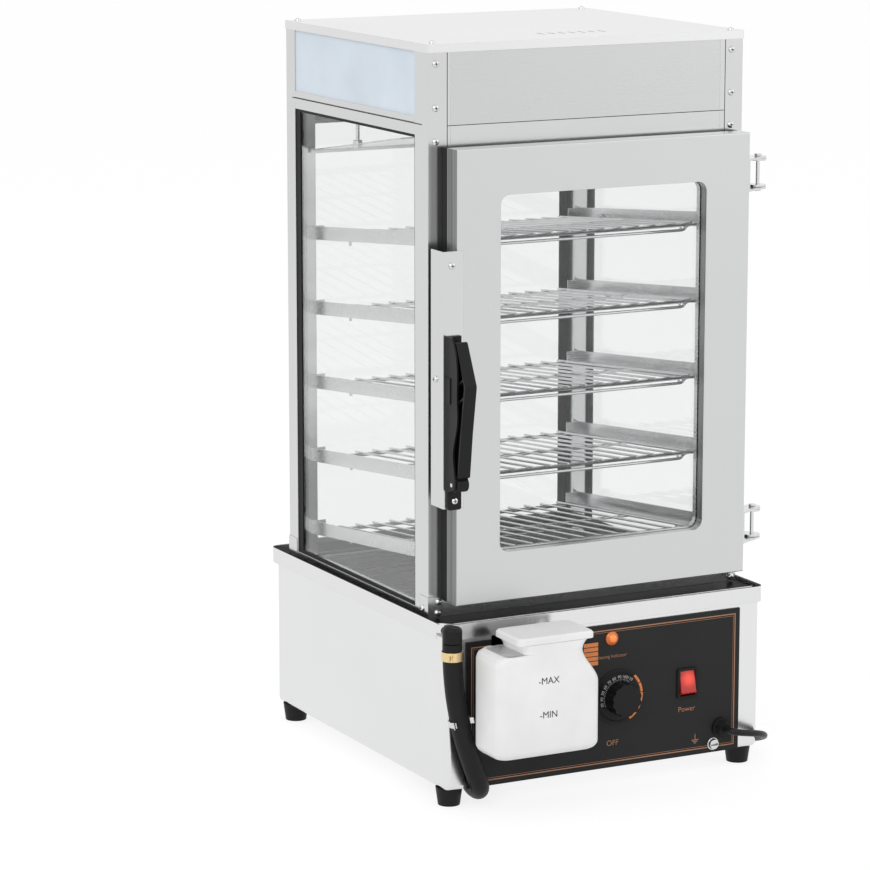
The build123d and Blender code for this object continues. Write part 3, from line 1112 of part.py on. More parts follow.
with BuildPart() as handle_lever:
    with BuildSketch(Plane.YZ.offset(LEVER_L)):
        lever_outline(0)
        with Locations((PIVOT_Y, PIVOT_Z)):
            Circle(LEVER_BOSS_R)
    extrude(amount=LEVER_W)
    with BuildSketch(Plane.YZ.offset(LEVER_L)):
        lever_outline(2.6)
        with Locations((PIVOT_Y, PIVOT_Z)):
            Circle(LEVER_BOSS_R, mode=Mode.SUBTRACT)
        with Locations((PIVOT_Y - 12, PIVOT_Z + 84), (PIVOT_Y - 12, PIVOT_Z + 102)):
            Rectangle(40, 2, rotation=-30, mode=Mode.SUBTRACT)
    extrude(amount=LEVER_W - 2.5, mode=Mode.SUBTRACT)
    with BuildSketch(Plane.YZ.offset(LEVER_L)):
        with Locations((PIVOT_Y, PIVOT_Z)):
            Circle(PIVOT_R + PIN_GAP)
    extrude(amount=LEVER_W, mode=Mode.SUBTRACT)
    right_edges = handle_lever.faces().sort_by(Axis.X)[-1].outer_wire().edges()
    fillet(right_edges, 0.8)
handle_lever.part.label = "handle_lever"
export_step(handle_lever.part, "parts/handle_lever.step")

# Handle pin, held in the cheek
with BuildPart() as handle_pin:
    rod((HANDLE_L - 0.8, PIVOT_Y, PIVOT_Z), (LEVER_L + LEVER_W + 0.4, PIVOT_Y, PIVOT_Z), PIVOT_R)
handle_pin.part.label = "handle_pin"
export_step(handle_pin.part, "parts/handle_pin.step")


def hinge_ears(anchor, web, half_span):
    """Add one bracket: two ears round the pin, joined by a web at the anchor side."""
    for z in HINGE_Z:
        for ear_z in (z - half_span, z + half_span - EAR_T):
            with BuildSketch(Plane.XY.offset(ear_z)) as ear:
                Polygon(*anchor, align=None)
                with Locations((HINGE_X, HINGE_Y)):
                    Circle(EAR_R)
                    Circle(PIN_R + PIN_GAP, mode=Mode.SUBTRACT)
            extrude(ear.sketch, amount=EAR_T)
        slab(web[0], web[1], (z - half_span, z + half_span))


# Hinge leaves on the door's right edge
DOOR_EAR = HINGE_SPAN / 2
with BuildPart() as door_hinges:
    hinge_ears(((DOOR_R, DOOR_FRONT + 2), (DOOR_R, DOOR_BACK - 2), (HINGE_X - 4, HINGE_Y + EAR_R - 1),
                (HINGE_X + 2, HINGE_Y - EAR_R + 0.5)),
               ((DOOR_R, DOOR_R + EAR_T), (DOOR_FRONT + 2, DOOR_BACK - 2)), DOOR_EAR)
door_hinges.part.label = "door_hinges"
export_step(door_hinges.part, "parts/door_hinges.step")

# Hinge brackets on the right front post
CAB_EAR = DOOR_EAR - EAR_T - HINGE_GAP
with BuildPart() as cabinet_hinges:
    hinge_ears(((CAB_R, CAB_F + 2), (CAB_R, CAB_F + 20), (CAB_R + EAR_T, CAB_F + 20),
                (HINGE_X + 6, HINGE_Y + 5),
                (HINGE_X - 6, HINGE_Y - 2)),
               ((CAB_R, CAB_R + EAR_T), (CAB_F + 2, CAB_F + 20)), CAB_EAR)
cabinet_hinges.part.label = "cabinet_hinges"
export_step(cabinet_hinges.part, "parts/cabinet_hinges.step")

# Hinge pins with a head above and below the ears
with BuildPart() as hinge_pins:
    for z in HINGE_Z:
        low = z - DOOR_EAR - HINGE_GAP
        high = z + DOOR_EAR + HINGE_GAP
        rod((HINGE_X, HINGE_Y, low - 2), (HINGE_X, HINGE_Y, high + 2), PIN_R)
        rod((HINGE_X, HINGE_Y, low - 2), (HINGE_X, HINGE_Y, low), PIN_R + 1.6)
        rod((HINGE_X, HINGE_Y, high), (HINGE_X, HINGE_Y, high + 2), PIN_R + 1.6)
hinge_pins.part.label = "hinge_pins"
export_step(hinge_pins.part, "parts/hinge_pins.step")

# Pan-head screws of the cabinet, given by place and by the way they face
SCREW_R = 3.4
SCREW_H = 2.0
FRONT_SCREWS = [(x, z) for x in (CAB_L + 8, CAB_R - 13) for z in (729, 686.5, 654)]
FRONT_CAP_SCREWS = [(CAB_L + 11, PLINTH_TOP + 15.6), (CAB_L + 10, PLINTH_TOP + 4.5),
                    (CAB_R - 5, PLINTH_TOP + 4.5)]
ROOF_SCREWS = [(x, y) for x in (CAB_L + 9, CAB_R - 9) for y in (CAB_F + 9, CAB_B - 9)]
with BuildPart() as cabinet_screws:
    for face_y, places in ((CAB_F, FRONT_SCREWS), (CAB_F - CAP_T, FRONT_CAP_SCREWS)):
        for x, z in places:
            with BuildSketch(Plane.XZ.offset(-face_y)):
                with Locations((x, z)):
                    Circle(SCREW_R)
            extrude(amount=SCREW_H, taper=20)
    for x, y in ROOF_SCREWS:
        with BuildSketch(Plane.XY.offset(ROOF_TOP)):
            with Locations((x, y)):
                Circle(SCREW_R)
        extrude(amount=SCREW_H, taper=20)
    with BuildSketch(Plane.YZ.offset(CAB_L - CAP_T)):
        with Locations((CAB_F + 11, PLINTH_TOP + 8.4)):
            Circle(SCREW_R)
    extrude(amount=-SCREW_H, taper=20)
cabinet_screws.part.label = "cabinet_screws"
export_step(cabinet_screws.part, "parts/cabinet_screws.step")

# Power cord: from the gland round the casing's right corner and back along the floor
FLOOR_Z = CORD_R + TOUCH
CORD_POINTS = [(GLAND[0], PANEL_F - GLAND_OUT, GLAND[1]), (GLAND[0], -179.2, GLAND[1]),
               (133.2, -184.4, 43.4), (146, -184.8, 41.2),
               (161, -181, 37.8), (174, -171.5, 32.5), (183.5, -156.5, 26), (189.5, -137, 19),
               (192.3, -113, 11.4), (193, -85, 5.6), (194.6, -52, 3.7), (198, -10, FLOOR_Z),
               (201, 42, FLOOR_Z), (201.5, 98, FLOOR_Z),
               (198.5, 152, FLOOR_Z), (193.6, 200, FLOOR_Z), (COIL_X, 242, FLOOR_Z),
               (COIL_X, COIL_Y - 2 * CORD_R, FLOOR_Z)]
CORD_RADII = corner_radii(CORD_POINTS)
with BuildPart() as power_cord:
    with BuildLine() as cord_line:
        FilletPolyline(*CORD_POINTS, radius=CORD_RADII)
    with BuildSketch(Plane(origin=CORD_POINTS[0], z_dir=Vector(*CORD_POINTS[1]) - Vector(*CORD_POINTS[0]))):
        Circle(CORD_R)
    sweep(path=cord_line.wires()[0])
cord_length = cord_line.wires()[0].length
print("cord radii", [round(r, 1) for r in CORD_RADII])
print("cord run", round(cord_length, 1), "volume over section",
      round(power_cord.part.volume / (pi * CORD_R ** 2), 1))
power_cord.part.label = "power_cord"
export_step(power_cord.part, "parts/power_cord.step")

# Coil: ten half turns that spiral in on the floor, climb one layer and spiral out again
COIL_STEP = 2 * CORD_R + COIL_GAP
IN_TURNS = 4
RADII = [COIL_TURN_R - COIL_STEP / 2 * k for k in range(IN_TURNS + 1)]
RADII += [COIL_TURN_R - COIL_STEP / 2 * (IN_TURNS - 1 - k) for k in range(IN_TURNS + 1)]
CLIMB = {IN_TURNS: COIL_STEP, len(RADII) - 1: PLUG_RISE}


def coil_point(start, side, radius, rise, angle):
    """A point of one half turn, on a plane tipped so that its far end is higher by rise."""
    along = radius * (1 - cos(angle))
    return (start[0] - side * along, start[1] + side * radius * sin(angle),
            start[2] + rise * along / (2 * radius))


coil_samples = []
with BuildPart() as cord_coil:
    with BuildLine() as coil_line:
        at = (COIL_X, COIL_Y, FLOOR_Z)
        Line((COIL_X, COIL_Y - 2 * CORD_R, FLOOR_Z), at)
        for k, turn_radius in enumerate(RADII):
            side = 1 if k % 2 == 0 else -1
            rise = CLIMB.get(k, 0)
            slope_radius = ((2 * turn_radius) ** 2 + rise ** 2) ** 0.5 / 2
            middle = (at[0] - side * turn_radius, at[1] + side * slope_radius, at[2] + rise / 2)
            end = (at[0] - side * 2 * turn_radius, at[1], at[2] + rise)
            ThreePointArc(at, middle, end)
            coil_samples += [coil_point(at, side, turn_radius, rise, pi * n / 24) for n in range(24)]
            at = end
        COIL_END = (at[0], at[1] + 2 * CORD_R, at[2])
        Line(at, COIL_END)
    with BuildSketch(Plane(origin=(COIL_X, COIL_Y - 2 * CORD_R, FLOOR_Z), z_dir=(0, 1, 0))):
        Circle(CORD_R)
    sweep(path=coil_line.wires()[0])
coil_gaps = [(Vector(*a) - Vector(*b)).length - 2 * CORD_R
             for i, a in enumerate(coil_samples) for b in coil_samples[i + 24:]]
print("coil length", round(coil_line.wires()[0].length, 1), "least gap to itself", round(min(coil_gaps), 2))
cord_coil.part.label = "cord_coil"
export_step(cord_coil.part, "parts/cord_coil.step")

# Plug: tapered relief, round body and two pins, lying on the floor
PLUG_R = 18.0
PLUG_LEVELS = ((0, CORD_R + 0.8), (22, CORD_R + 3.5), (34, 13), (46, PLUG_R), (58, PLUG_R))
with BuildPart() as power_plug:
    for (y0, r0), (y1, r1) in zip(PLUG_LEVELS, PLUG_LEVELS[1:]):
        with BuildSketch(Plane(origin=(COIL_END[0], COIL_END[1] + y0, COIL_END[2]), z_dir=(0, 1, 0))):
            Circle(r0)
        with BuildSketch(Plane(origin=(COIL_END[0], COIL_END[1] + y1, COIL_END[2]), z_dir=(0, 1, 0))):
            Circle(r1)
        loft()
    for pin_x in (-9.5, 9.5):
        rod((COIL_END[0] + pin_x, COIL_END[1] + 58, COIL_END[2]),
            (COIL_END[0] + pin_x, COIL_END[1] + 77, COIL_END[2]), 2.4)
power_plug.part.label = "power_plug"
export_step(power_plug.part, "parts/power_plug.step")
print("total cord", round(cord_length + coil_line.wires()[0].length, 1))
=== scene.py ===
import bpy
import bmesh
from math import cos, pi, radians, sin
from mathutils import Matrix, Vector


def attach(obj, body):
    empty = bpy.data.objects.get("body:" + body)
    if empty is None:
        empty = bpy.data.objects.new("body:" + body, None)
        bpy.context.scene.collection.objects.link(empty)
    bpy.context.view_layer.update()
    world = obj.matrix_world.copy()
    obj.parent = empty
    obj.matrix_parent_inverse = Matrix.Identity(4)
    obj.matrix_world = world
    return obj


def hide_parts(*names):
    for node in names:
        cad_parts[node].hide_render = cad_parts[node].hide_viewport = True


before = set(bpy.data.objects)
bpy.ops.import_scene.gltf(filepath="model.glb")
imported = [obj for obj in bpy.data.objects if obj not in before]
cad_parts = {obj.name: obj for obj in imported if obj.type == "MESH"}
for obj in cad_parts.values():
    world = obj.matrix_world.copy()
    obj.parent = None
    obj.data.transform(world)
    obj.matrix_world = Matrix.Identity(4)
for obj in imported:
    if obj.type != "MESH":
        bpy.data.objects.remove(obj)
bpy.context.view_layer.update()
MM = 0.001
SMOOTH_ANGLE = radians(32)

# Camera: solved from the photograph's straight edges
CAMERA_PLACE = (-1.79294, -3.22422, 1.0564)
CAMERA_TILT = radians(90 - 11.13)
CAMERA_YAW = radians(-27.47)
SENSOR = 36.0
PHOTO_WIDTH = 870
FOCAL_PX = 3659.85


def make_camera():
    data = bpy.data.cameras.new("camera")
    data.sensor_width = SENSOR
    data.sensor_fit = "HORIZONTAL"
    data.lens = FOCAL_PX / PHOTO_WIDTH * SENSOR
    data.clip_start = 0.05
    camera = bpy.data.objects.new("camera", data)
    camera.location = CAMERA_PLACE
    camera.rotation_euler = (CAMERA_TILT, 0, CAMERA_YAW)
    bpy.context.collection.objects.link(camera)
    bpy.context.scene.camera = camera


class Nodes:
    """A node material under construction: a Principled shader, its links and a texture space in metres."""

    def __init__(self, name, colour, roughness, metallic=0.0):
        self.material = bpy.data.materials.new(name)
        self.material.use_nodes = True
        self.tree = self.material.node_tree
        self.shader = self.tree.nodes["Principled BSDF"]
        self.shader.inputs["Base Color"].default_value = (*colour, 1)
        self.shader.inputs["Roughness"].default_value = roughness
        self.shader.inputs["Metallic"].default_value = metallic
        self.colour = colour
        self.place = self.tree.nodes.new("ShaderNodeTexCoord").outputs["Object"]

    def add(self, kind, **values):
        """A new node. Each value goes to the socket of that name, or else to the setting of that name."""
        node = self.tree.nodes.new(kind)
        for key, value in values.items():
            if key in node.inputs:
                node.inputs[key].default_value = value
            else:
                setattr(node, key, value)
        return node

    def link(self, a, b):
        self.tree.links.new(a, b)

    def stretched(self, scale):
        """The texture space with its own scale along each axis."""
        mapping = self.add("ShaderNodeMapping", Scale=scale)
        self.link(self.place, mapping.inputs["Vector"])
        return mapping.outputs["Vector"]

    def noise(self, scale, detail=3.0, space=None):
        node = self.add("ShaderNodeTexNoise", Scale=scale, Detail=detail)
        self.link(space or self.place, node.inputs["Vector"])
        return node.outputs["Fac"]

    def facing(self, axis):
        """How far the surface looks along one axis, from -1 to 1."""
        parts = self.add("ShaderNodeSeparateXYZ")
        self.link(self.add("ShaderNodeNewGeometry").outputs["Normal"], parts.inputs[0])
        return parts.outputs[axis]

    def spread(self, factor, low, high, start=0.0, end=1.0, kind="LINEAR"):
        """A value that goes from low to high while the factor goes from start to end."""
        node = self.add("ShaderNodeMapRange", interpolation_type=kind)
        for name, value in (("From Min", start), ("From Max", end), ("To Min", low), ("To Max", high)):
            node.inputs[name].default_value = value
        self.link(factor, node.inputs["Value"])
        return node.outputs["Result"]

    def math(self, operation, first, second, clamp=False):
        """One operation on two sockets, or on a socket and a number."""
        node = self.add("ShaderNodeMath", operation=operation, use_clamp=clamp)
        self.link(first, node.inputs[0])
        if isinstance(second, float):
            node.inputs[1].default_value = second
        else:
            self.link(second, node.inputs[1])
        return node.outputs[0]

    def between(self, factor, first, second, socket="Base Color"):
        """Give one socket of the shader a colour between two, by the factor."""
        mix = self.add("ShaderNodeMix", data_type="RGBA")
        mix.inputs["A"].default_value = (*first, 1)
        mix.inputs["B"].default_value = (*second, 1)
        self.link(factor, mix.inputs["Factor"])
        self.link(mix.outputs["Result"], self.shader.inputs[socket])

    def tint(self, factor, dark, light):
        """Colour that goes from dark to light shares of the base colour."""
        self.between(factor, [c * dark for c in self.colour], [min(1, c * light) for c in self.colour])

    def bump(self, height, strength, distance, edge=0.0006):
        """Relief from a height, on edges that are softened over a radius in metres."""
        node = self.add("ShaderNodeBump", Strength=strength, Distance=distance)
        soft = self.add("ShaderNodeBevel", Radius=edge)
        soft.samples = 4
        self.link(soft.outputs["Normal"], node.inputs["Normal"])
        self.link(height, node.inputs["Height"])
        self.link(node.outputs["Normal"], self.shader.inputs["Normal"])

    def show(self, share, first, second):
        """Show two shaders mixed, with this share of the second."""
        mix = self.add("ShaderNodeMixShader")
        for source, socket in zip((share, first, second), mix.inputs):
            self.link(source, socket)
        self.link(mix.outputs[0], self.tree.nodes["Material Output"].inputs["Surface"])


def steel(name, colour, roughness, grain, painted_flank_share=None):
    """Rolled stainless sheet: fine grain along one axis, with faint smudges in its gloss.

    Given a flank share, the faces that look left get painted dark reflection bands, at that share of the
    colour.
    """
    m = Nodes(name, colour, roughness, 1.0)
    lines = m.noise(1.0, 4.0, m.stretched(grain))
    smudge = m.noise(9.0, 2.0)
    gloss = m.math("ADD", m.spread(lines, roughness - 0.05, roughness + 0.05),
                   m.spread(smudge, -0.04, 0.05))
    m.link(gloss, m.shader.inputs["Roughness"])
    m.bump(lines, 0.10, 0.0002)
    # Painted reflection: the faces that look left are darkened in upright bands, as the dark post reflected
    # in them.
    if painted_flank_share:
        dark_flanks(m, painted_flank_share)
    else:
        m.tint(m.noise(5.0, 2.0), 0.965, 1.03)
    return m.material


def dark_flanks(m, share):
    """Painted reflection and shade: darken the faces that look left, in upright bands."""
    turned = m.spread(m.facing("X"), 0.0, 1.0, -0.5, -0.9)
    bands = m.spread(m.noise(1.0, 2.0, m.stretched((10, 260, 1))), -0.25, 0.75)
    reach = m.math("ADD", bands, 0.45, clamp=True)
    m.between(m.math("MULTIPLY", turned, reach), m.colour, [c * share for c in m.colour])


def tray_steel(name, colour, painted_reflection_colour, roughness):
    """Tray sheet: bright on its upright faces, with a painted dark reflection on the faces that look up, in
    colour and in specular tint.
    """
    m = Nodes(name, colour, roughness, 1.0)
    lines = m.noise(1.0, 4.0, m.stretched((30, 900, 900)))
    # Painted reflection: faces that look up are darkened in colour and in specular tint.
    level = m.spread(m.facing("Z"), 0.0, 1.0)
    m.between(level, colour, painted_reflection_colour)
    m.between(level, (1, 1, 1), (0.42, 0.42, 0.42), "Specular Tint")
    m.link(m.spread(m.noise(14.0, 3.0), roughness - 0.06, roughness + 0.1), m.shader.inputs["Roughness"])
    m.bump(lines, 0.10, 0.0002)
    return m.material


def moulded(name, colour, roughness, texture=900.0, strength=0.12, gloss=0.3):
    """Moulded plastic or rubber: a fine pebbled skin with slight gloss changes."""
    m = Nodes(name, colour, roughness)
    m.shader.inputs["Specular IOR Level"].default_value = gloss
    grain = m.noise(texture, 2.0)
    m.tint(m.noise(18.0, 3.0), 0.88, 1.12)
    m.link(m.spread(m.noise(26.0, 2.0), roughness - 0.05, roughness + 0.07), m.shader.inputs["Roughness"])
    m.bump(grain, strength, 0.0002)
    return m.material


def glowing(name, colour, glow, strength, heart, reach):
    """Lit plastic: a coloured lens that glows round its heart, both in metres."""
    m = Nodes(name, colour, 0.22)
    spots = m.noise(160.0, 2.0)
    m.tint(spots, 0.8, 1.2)
    away = m.add("ShaderNodeVectorMath", operation="DISTANCE")
    m.link(m.place, away.inputs[0])
    away.inputs[1].default_value = heart
    m.shader.inputs["Emission Color"].default_value = (*glow, 1)
    m.link(m.spread(away.outputs["Value"], strength, 0.06, 0.0, reach, "SMOOTHSTEP"),
           m.shader.inputs["Emission Strength"])
    m.shader.inputs["Coat Weight"].default_value = 0.4
    m.bump(spots, 0.05, 0.0003)
    return m.material


def clear_glass(name):
    """Window glass that lets light through to what stands behind it."""
    m = Nodes(name, (0.925, 0.935, 0.932), 0.015)
    m.shader.inputs["Transmission Weight"].default_value = 1.0
    m.shader.inputs["IOR"].default_value = 1.45
    m.link(m.spread(m.noise(12.0, 2.0), 0.0, 0.03), m.shader.inputs["Roughness"])
    see_through = m.add("ShaderNodeBsdfTransparent", Color=(0.93, 0.95, 0.95, 1))
    path = m.add("ShaderNodeLightPath")
    bounced = m.math("MAXIMUM", path.outputs["Is Shadow Ray"], path.outputs["Is Diffuse Ray"])
    m.show(bounced, m.shader.outputs[0], see_through.outputs[0])
    return m.material


# Grain of rolled sheet: upright, across and from front to back
TALL = (900, 900, 14)
WIDE = (14, 900, 900)
DEEP = (900, 14, 900)
# Where the lit rocker and the lamp glow most, in metres
ROCKER_HEART = (0.0875, -0.163, 0.1)
LENS_HEART = (-0.0035, -0.167, 0.1545)
WINDOW_GLOW = (0.62, 0.70, 0.78, 1)
WINDOW_STRENGTH = 0.12


def make_materials():
    made = {
        "casing": steel("casing_finish", (0.755, 0.758, 0.76), 0.24, WIDE),
        "post": steel("post_finish", (0.64, 0.643, 0.645), 0.18, TALL),
        # The door's left flank takes painted dark reflection bands, at 0.22 of its colour.
        "door": steel("door_finish", (0.615, 0.62, 0.622), 0.30, TALL, 0.22),
        "header": steel("header_finish", (0.585, 0.588, 0.59), 0.28, WIDE),
        "roof": steel("roof_finish", (0.75, 0.75, 0.752), 0.30, DEEP),
        "inner": steel("inner_finish", (0.68, 0.68, 0.685), 0.26, WIDE),
        # The tray's upward faces get a painted dark reflection colour.
        "tray": tray_steel("tray_painted_reflection_finish", (0.74, 0.74, 0.745), (0.045, 0.045, 0.047), 0.24),
        "chrome": steel("wire_finish", (0.60, 0.60, 0.61), 0.12, (300, 300, 300)),
        "bright": steel("screw_finish", (0.68, 0.68, 0.69), 0.16, (500, 500, 500)),
        "dark_steel": steel("heater_finish", (0.30, 0.29, 0.28), 0.4, (200, 200, 200)),
        "brass": steel("clamp_finish", (0.78, 0.60, 0.33), 0.22, (400, 400, 400)),
        "panel": moulded("panel_finish", (0.024, 0.024, 0.024), 0.42, 1400.0, 0.06, 0.12),
        "plastic": moulded("plastic_finish", (0.010, 0.010, 0.010), 0.40, 1100.0, 0.10, 0.18),
        "rubber": moulded("rubber_finish", (0.012, 0.012, 0.012), 0.46, 700.0, 0.14, 0.18),
        "cord": moulded("cord_finish", (0.012, 0.012, 0.012), 0.38, 500.0, 0.10, 0.22),
        "seal": moulded("seal_finish", (0.014, 0.014, 0.015), 0.50, 600.0, 0.12, 0.15),
        "tank": moulded("tank_finish", (0.90, 0.90, 0.90), 0.34, 260.0, 0.05, 0.5),
        "window": moulded("window_finish", (0.62, 0.69, 0.76), 0.35, 200.0, 0.03),
        "tube": moulded("tube_finish", (0.85, 0.86, 0.86), 0.25, 200.0, 0.02),
        "red": glowing("rocker_finish", (0.45, 0.006, 0.005), (1.0, 0.10, 0.05), 0.7, ROCKER_HEART, 0.011),
        "amber": glowing("lens_finish", (0.62, 0.11, 0.008), (1.0, 0.40, 0.10), 0.55, LENS_HEART, 0.008),
        "copper": moulded("copper_ink", (0.42, 0.21, 0.12), 0.45, 900.0, 0.02),
        "orange": moulded("orange_ink", (0.72, 0.24, 0.08), 0.45, 900.0, 0.02),
        "pale_ink": moulded("pale_ink", (0.62, 0.62, 0.60), 0.45, 900.0, 0.02),
        "dark_ink": moulded("dark_ink", (0.06, 0.06, 0.065), 0.45, 900.0, 0.02),
        # Near black: painted shade in the screw recesses and drain slots, and the seams' real dark joints.
        "recess": moulded("recess_shade_and_joint_finish", (0.05, 0.05, 0.05), 0.6, 900.0, 0.05),
        "glass": clear_glass("glass_finish"),
    }
    window = made["window"].node_tree.nodes["Principled BSDF"]
    window.inputs["Emission Color"].default_value = WINDOW_GLOW
    window.inputs["Emission Strength"].default_value = WINDOW_STRENGTH
    return made


NODE_FINISH = {
    "casing": ["base_shell"],
    "post": ["front_left_post", "front_right_post", "rear_left_post", "rear_right_post", "post_caps",
             "cross_rails", "side_rails", "latch_plate"],
    "door": ["door_frame"],
    "header": ["header_panels"],
    "roof": ["roof"],
    "inner": ["bottom_plate", "thermostat", "water_pan", "tank_bracket", "drip_ceiling", "ceiling_panel",
              "left_shelf_rails", "right_shelf_rails", "door_liner"],
    "tray": ["drip_tray"],
    "chrome": ["rack_1", "rack_2", "rack_3", "rack_4", "rack_5"],
    "bright": ["earth_stud", "hose_clip", "handle_pin", "cabinet_hinges", "door_hinges", "hinge_pins",
               "cabinet_screws"],
    "dark_steel": ["heating_element"],
    "brass": ["hose_clamp"],
    "panel": ["control_panel"],
    "plastic": ["switch_housing", "cord_gland", "power_plug", "drain_elbow", "handle_base", "handle_lever",
                "temperature_knob"],
    "rubber": ["feet", "drain_hose"],
    "cord": ["power_cord", "cord_coil"],
    "seal": ["glass_seals", "door_seal"],
    "tank": ["water_tank", "tank_lid"],
    "window": ["light_windows"],
    "tube": ["light_tube"],
    "red": ["rocker"],
    "amber": ["indicator_lamp"],
    "glass": ["left_glass", "right_glass", "rear_glass", "door_glass"],
}


def finish_nodes(materials):
    for finish, names in NODE_FINISH.items():
        for name in names:
            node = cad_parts[name]
            if not node.material_slots:
                node.data.materials.append(materials[finish])
            for place in node.material_slots:
                place.material = materials[finish]


def link_piece(name, data, body, material):
    """Put a new piece in the scene, on its body and with its finish."""
    piece = bpy.data.objects.new(name, data)
    bpy.context.collection.objects.link(piece)
    data.materials.append(material)
    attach(piece, body)
    return piece


def mesh_piece(name, mesh, body, material):
    data = bpy.data.meshes.new(name)
    mesh.normal_update()
    mesh.to_mesh(data)
    mesh.free()
    for face in data.polygons:
        face.use_smooth = True
    data.set_sharp_from_angle(angle=SMOOTH_ANGLE)
    return link_piece(name, data, body, material)


def bridge(mesh, low, high):
    """A band of faces between two closed loops of as many points."""
    for n in range(len(low)):
        following = (n + 1) % len(low)
        mesh.faces.new((low[n], low[following], high[following], high[n]))


def flat_strip(mesh, corners):
    """One face with these corners, in mm."""
    mesh.faces.new([mesh.verts.new(Vector(c) * MM) for c in corners])


def block(mesh, x, y, z):
    """A small box between pairs of x, y and z, in mm."""
    outline = ((x[0], y[0]), (x[1], y[0]), (x[1], y[1]), (x[0], y[1]))
    low, high = [[mesh.verts.new(Vector((a, b, level)) * MM) for a, b in outline] for level in z]
    bridge(mesh, low, high)
    mesh.faces.new(low[::-1])
    mesh.faces.new(high)


def new_curve(name, thickness, resolution=6, roundness=5):
    """A round wire, of a thickness in metres, with no runs yet."""
    data = bpy.data.curves.new(name, "CURVE")
    data.dimensions = "3D"
    data.bevel_depth = thickness / 2
    data.bevel_resolution = roundness
    data.resolution_u = resolution
    data.use_fill_caps = True
    return data


def add_line(data, points, kind="POLY", radius=1.0, closed=False):
    """Add one run of points, given in mm, to a curve."""
    line = data.splines.new(kind)
    line.points.add(len(points) - 1)
    for point, place in zip(line.points, points):
        point.co = (*[c * MM for c in place], 1)
        point.radius = radius
    if kind == "NURBS":
        line.order_u = 3
        line.use_endpoint_u = not closed
    line.use_cyclic_u = closed


# Power cord: the route of the free stretch, then the coil, in mm
CORD_D = 7.0
CORD_R = CORD_D / 2
FLOOR_Z = CORD_R + 0.1
GLAND_MOUTH = -171.5
CORD_ROUTE = [(127, GLAND_MOUTH, 44.5), (127, -179.2, 44.5), (133.2, -184.4, 43.4), (146, -184.8, 41.2),
              (161, -181, 37.8), (174, -171.5, 32.5), (183.5, -156.5, 26), (189.5, -137, 19),
              (192.3, -113, 11.4), (193, -85, 5.6), (194.6, -52, 3.7), (198, -10, FLOOR_Z),
              (201, 42, FLOOR_Z), (201.5, 98, FLOOR_Z), (198.5, 152, FLOOR_Z), (193.6, 200, FLOOR_Z),
              (190, 242, FLOOR_Z)]
COIL_START = (190.0, 290.0, FLOOR_Z)
COIL_R = 44.0
COIL_STEP = 3.75
COIL_IN = 4
COIL_LAYER = 7.5
PLUG_RISE = 7.0
COIL_POINTS = 8


def coil_route():
    """Half turns that spiral in on the floor, climb one layer, spiral out and rise to the plug."""
    radii = [COIL_R - COIL_STEP * k for k in range(COIL_IN + 1)]
    radii += [COIL_R - COIL_STEP * (COIL_IN - 1 - k) for k in range(COIL_IN + 1)]
    at = COIL_START
    points = [at]
    for k, radius in enumerate(radii):
        side = 1 if k % 2 == 0 else -1
        rise = COIL_LAYER if k == COIL_IN else PLUG_RISE if k == len(radii) - 1 else 0
        for n in range(1, COIL_POINTS + 1):
            angle = pi * n / COIL_POINTS
            along = radius * (1 - cos(angle))
            points.append((at[0] - side * along, at[1] + side * radius * sin(angle),
                           at[2] + rise * along / (2 * radius)))
        at = points[-1]
    points.append((at[0], at[1] + CORD_D, at[2]))
    return points


def make_cord(materials):
    data = new_curve("power_cord_line", CORD_D * MM, resolution=8)
    add_line(data, CORD_ROUTE + coil_route(), "NURBS")
    cord = link_piece("power_cord_line", data, "cabinet", materials["cord"])
    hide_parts("power_cord", "cord_coil")


# Drain hose: from the elbow down the front, through the notch and up to the pan, in mm
HOSE_D = 19.5
HOSE_Y = -172.5
HOSE_ROUTE = [(-187.5, HOSE_Y, 171.5), (-187.5, HOSE_Y, 138), (-178.5, HOSE_Y, 85), (-166, HOSE_Y, 48),
              (-157.5, HOSE_Y - 1, 26), (-151, -161, 14.5), (-147, -134, 14.5), (-128, -100, 22),
              (-122, -80, 42), (-122, -80, 79.9)]


def make_hose(materials):
    data = new_curve("drain_hose_line", HOSE_D * MM, resolution=10, roundness=9)
    add_line(data, HOSE_ROUTE, "NURBS")
    hose = link_piece("drain_hose_line", data, "cabinet", materials["rubber"])
    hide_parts("drain_hose")


# Racks: bright wires on a plane that rises to the front, in mm
RACK_COUNT = 5
RACK_LEFT = -157.9
RACK_RIGHT = 140.3
RACK_REAR = Vector((0, 170.21, 213.29))
RACK_DEPTH = 270.0
RACK_PITCH = 78.2
RACK_SLOPE = 0.10
RACK_UP = Vector((0, RACK_SLOPE, 1)).normalized()
RACK_FORWARD = Vector((0, -1, RACK_SLOPE)).normalized()
RACK_ROUND = 7.0
ROUND_STEPS = 4
FRAME_WIRE = 4.0
ROD_SHARE = 0.625
ROD_COUNT = 14
ROD_PITCH = 20.0
ROD_UP = 2.6
ROD_PAST = 1.2
THIN_SHARE = 0.75
MIDDLE_UP = -0.3
# Bends of the stepped front wire: how far in from the side, back from the front and down
STEP_BENDS = ((22, 0, 0), (23, 4, 2.5), (25, 4, 5), (34, 4, 5))
# Stop hooks: the frame wire's side, the hook's own side and its place from the rear
HOOKS = ((RACK_LEFT, -152.4, 55), (RACK_RIGHT, 136.4, 225))
# Bends of a hook: share of the way in, and height
HOOK_BENDS = ((0.0, 0.4), (0.5, 0.8), (1.0, 0.6), (1.0, -3.0), (1.0, -9.0))


def on_rack(level, x, forward, up=0.0):
    """A point on one rack's sloping plane, forward of its rear wire."""
    place = RACK_REAR + Vector((x, 0, RACK_PITCH * level)) + RACK_FORWARD * forward + RACK_UP * up
    return tuple(place)


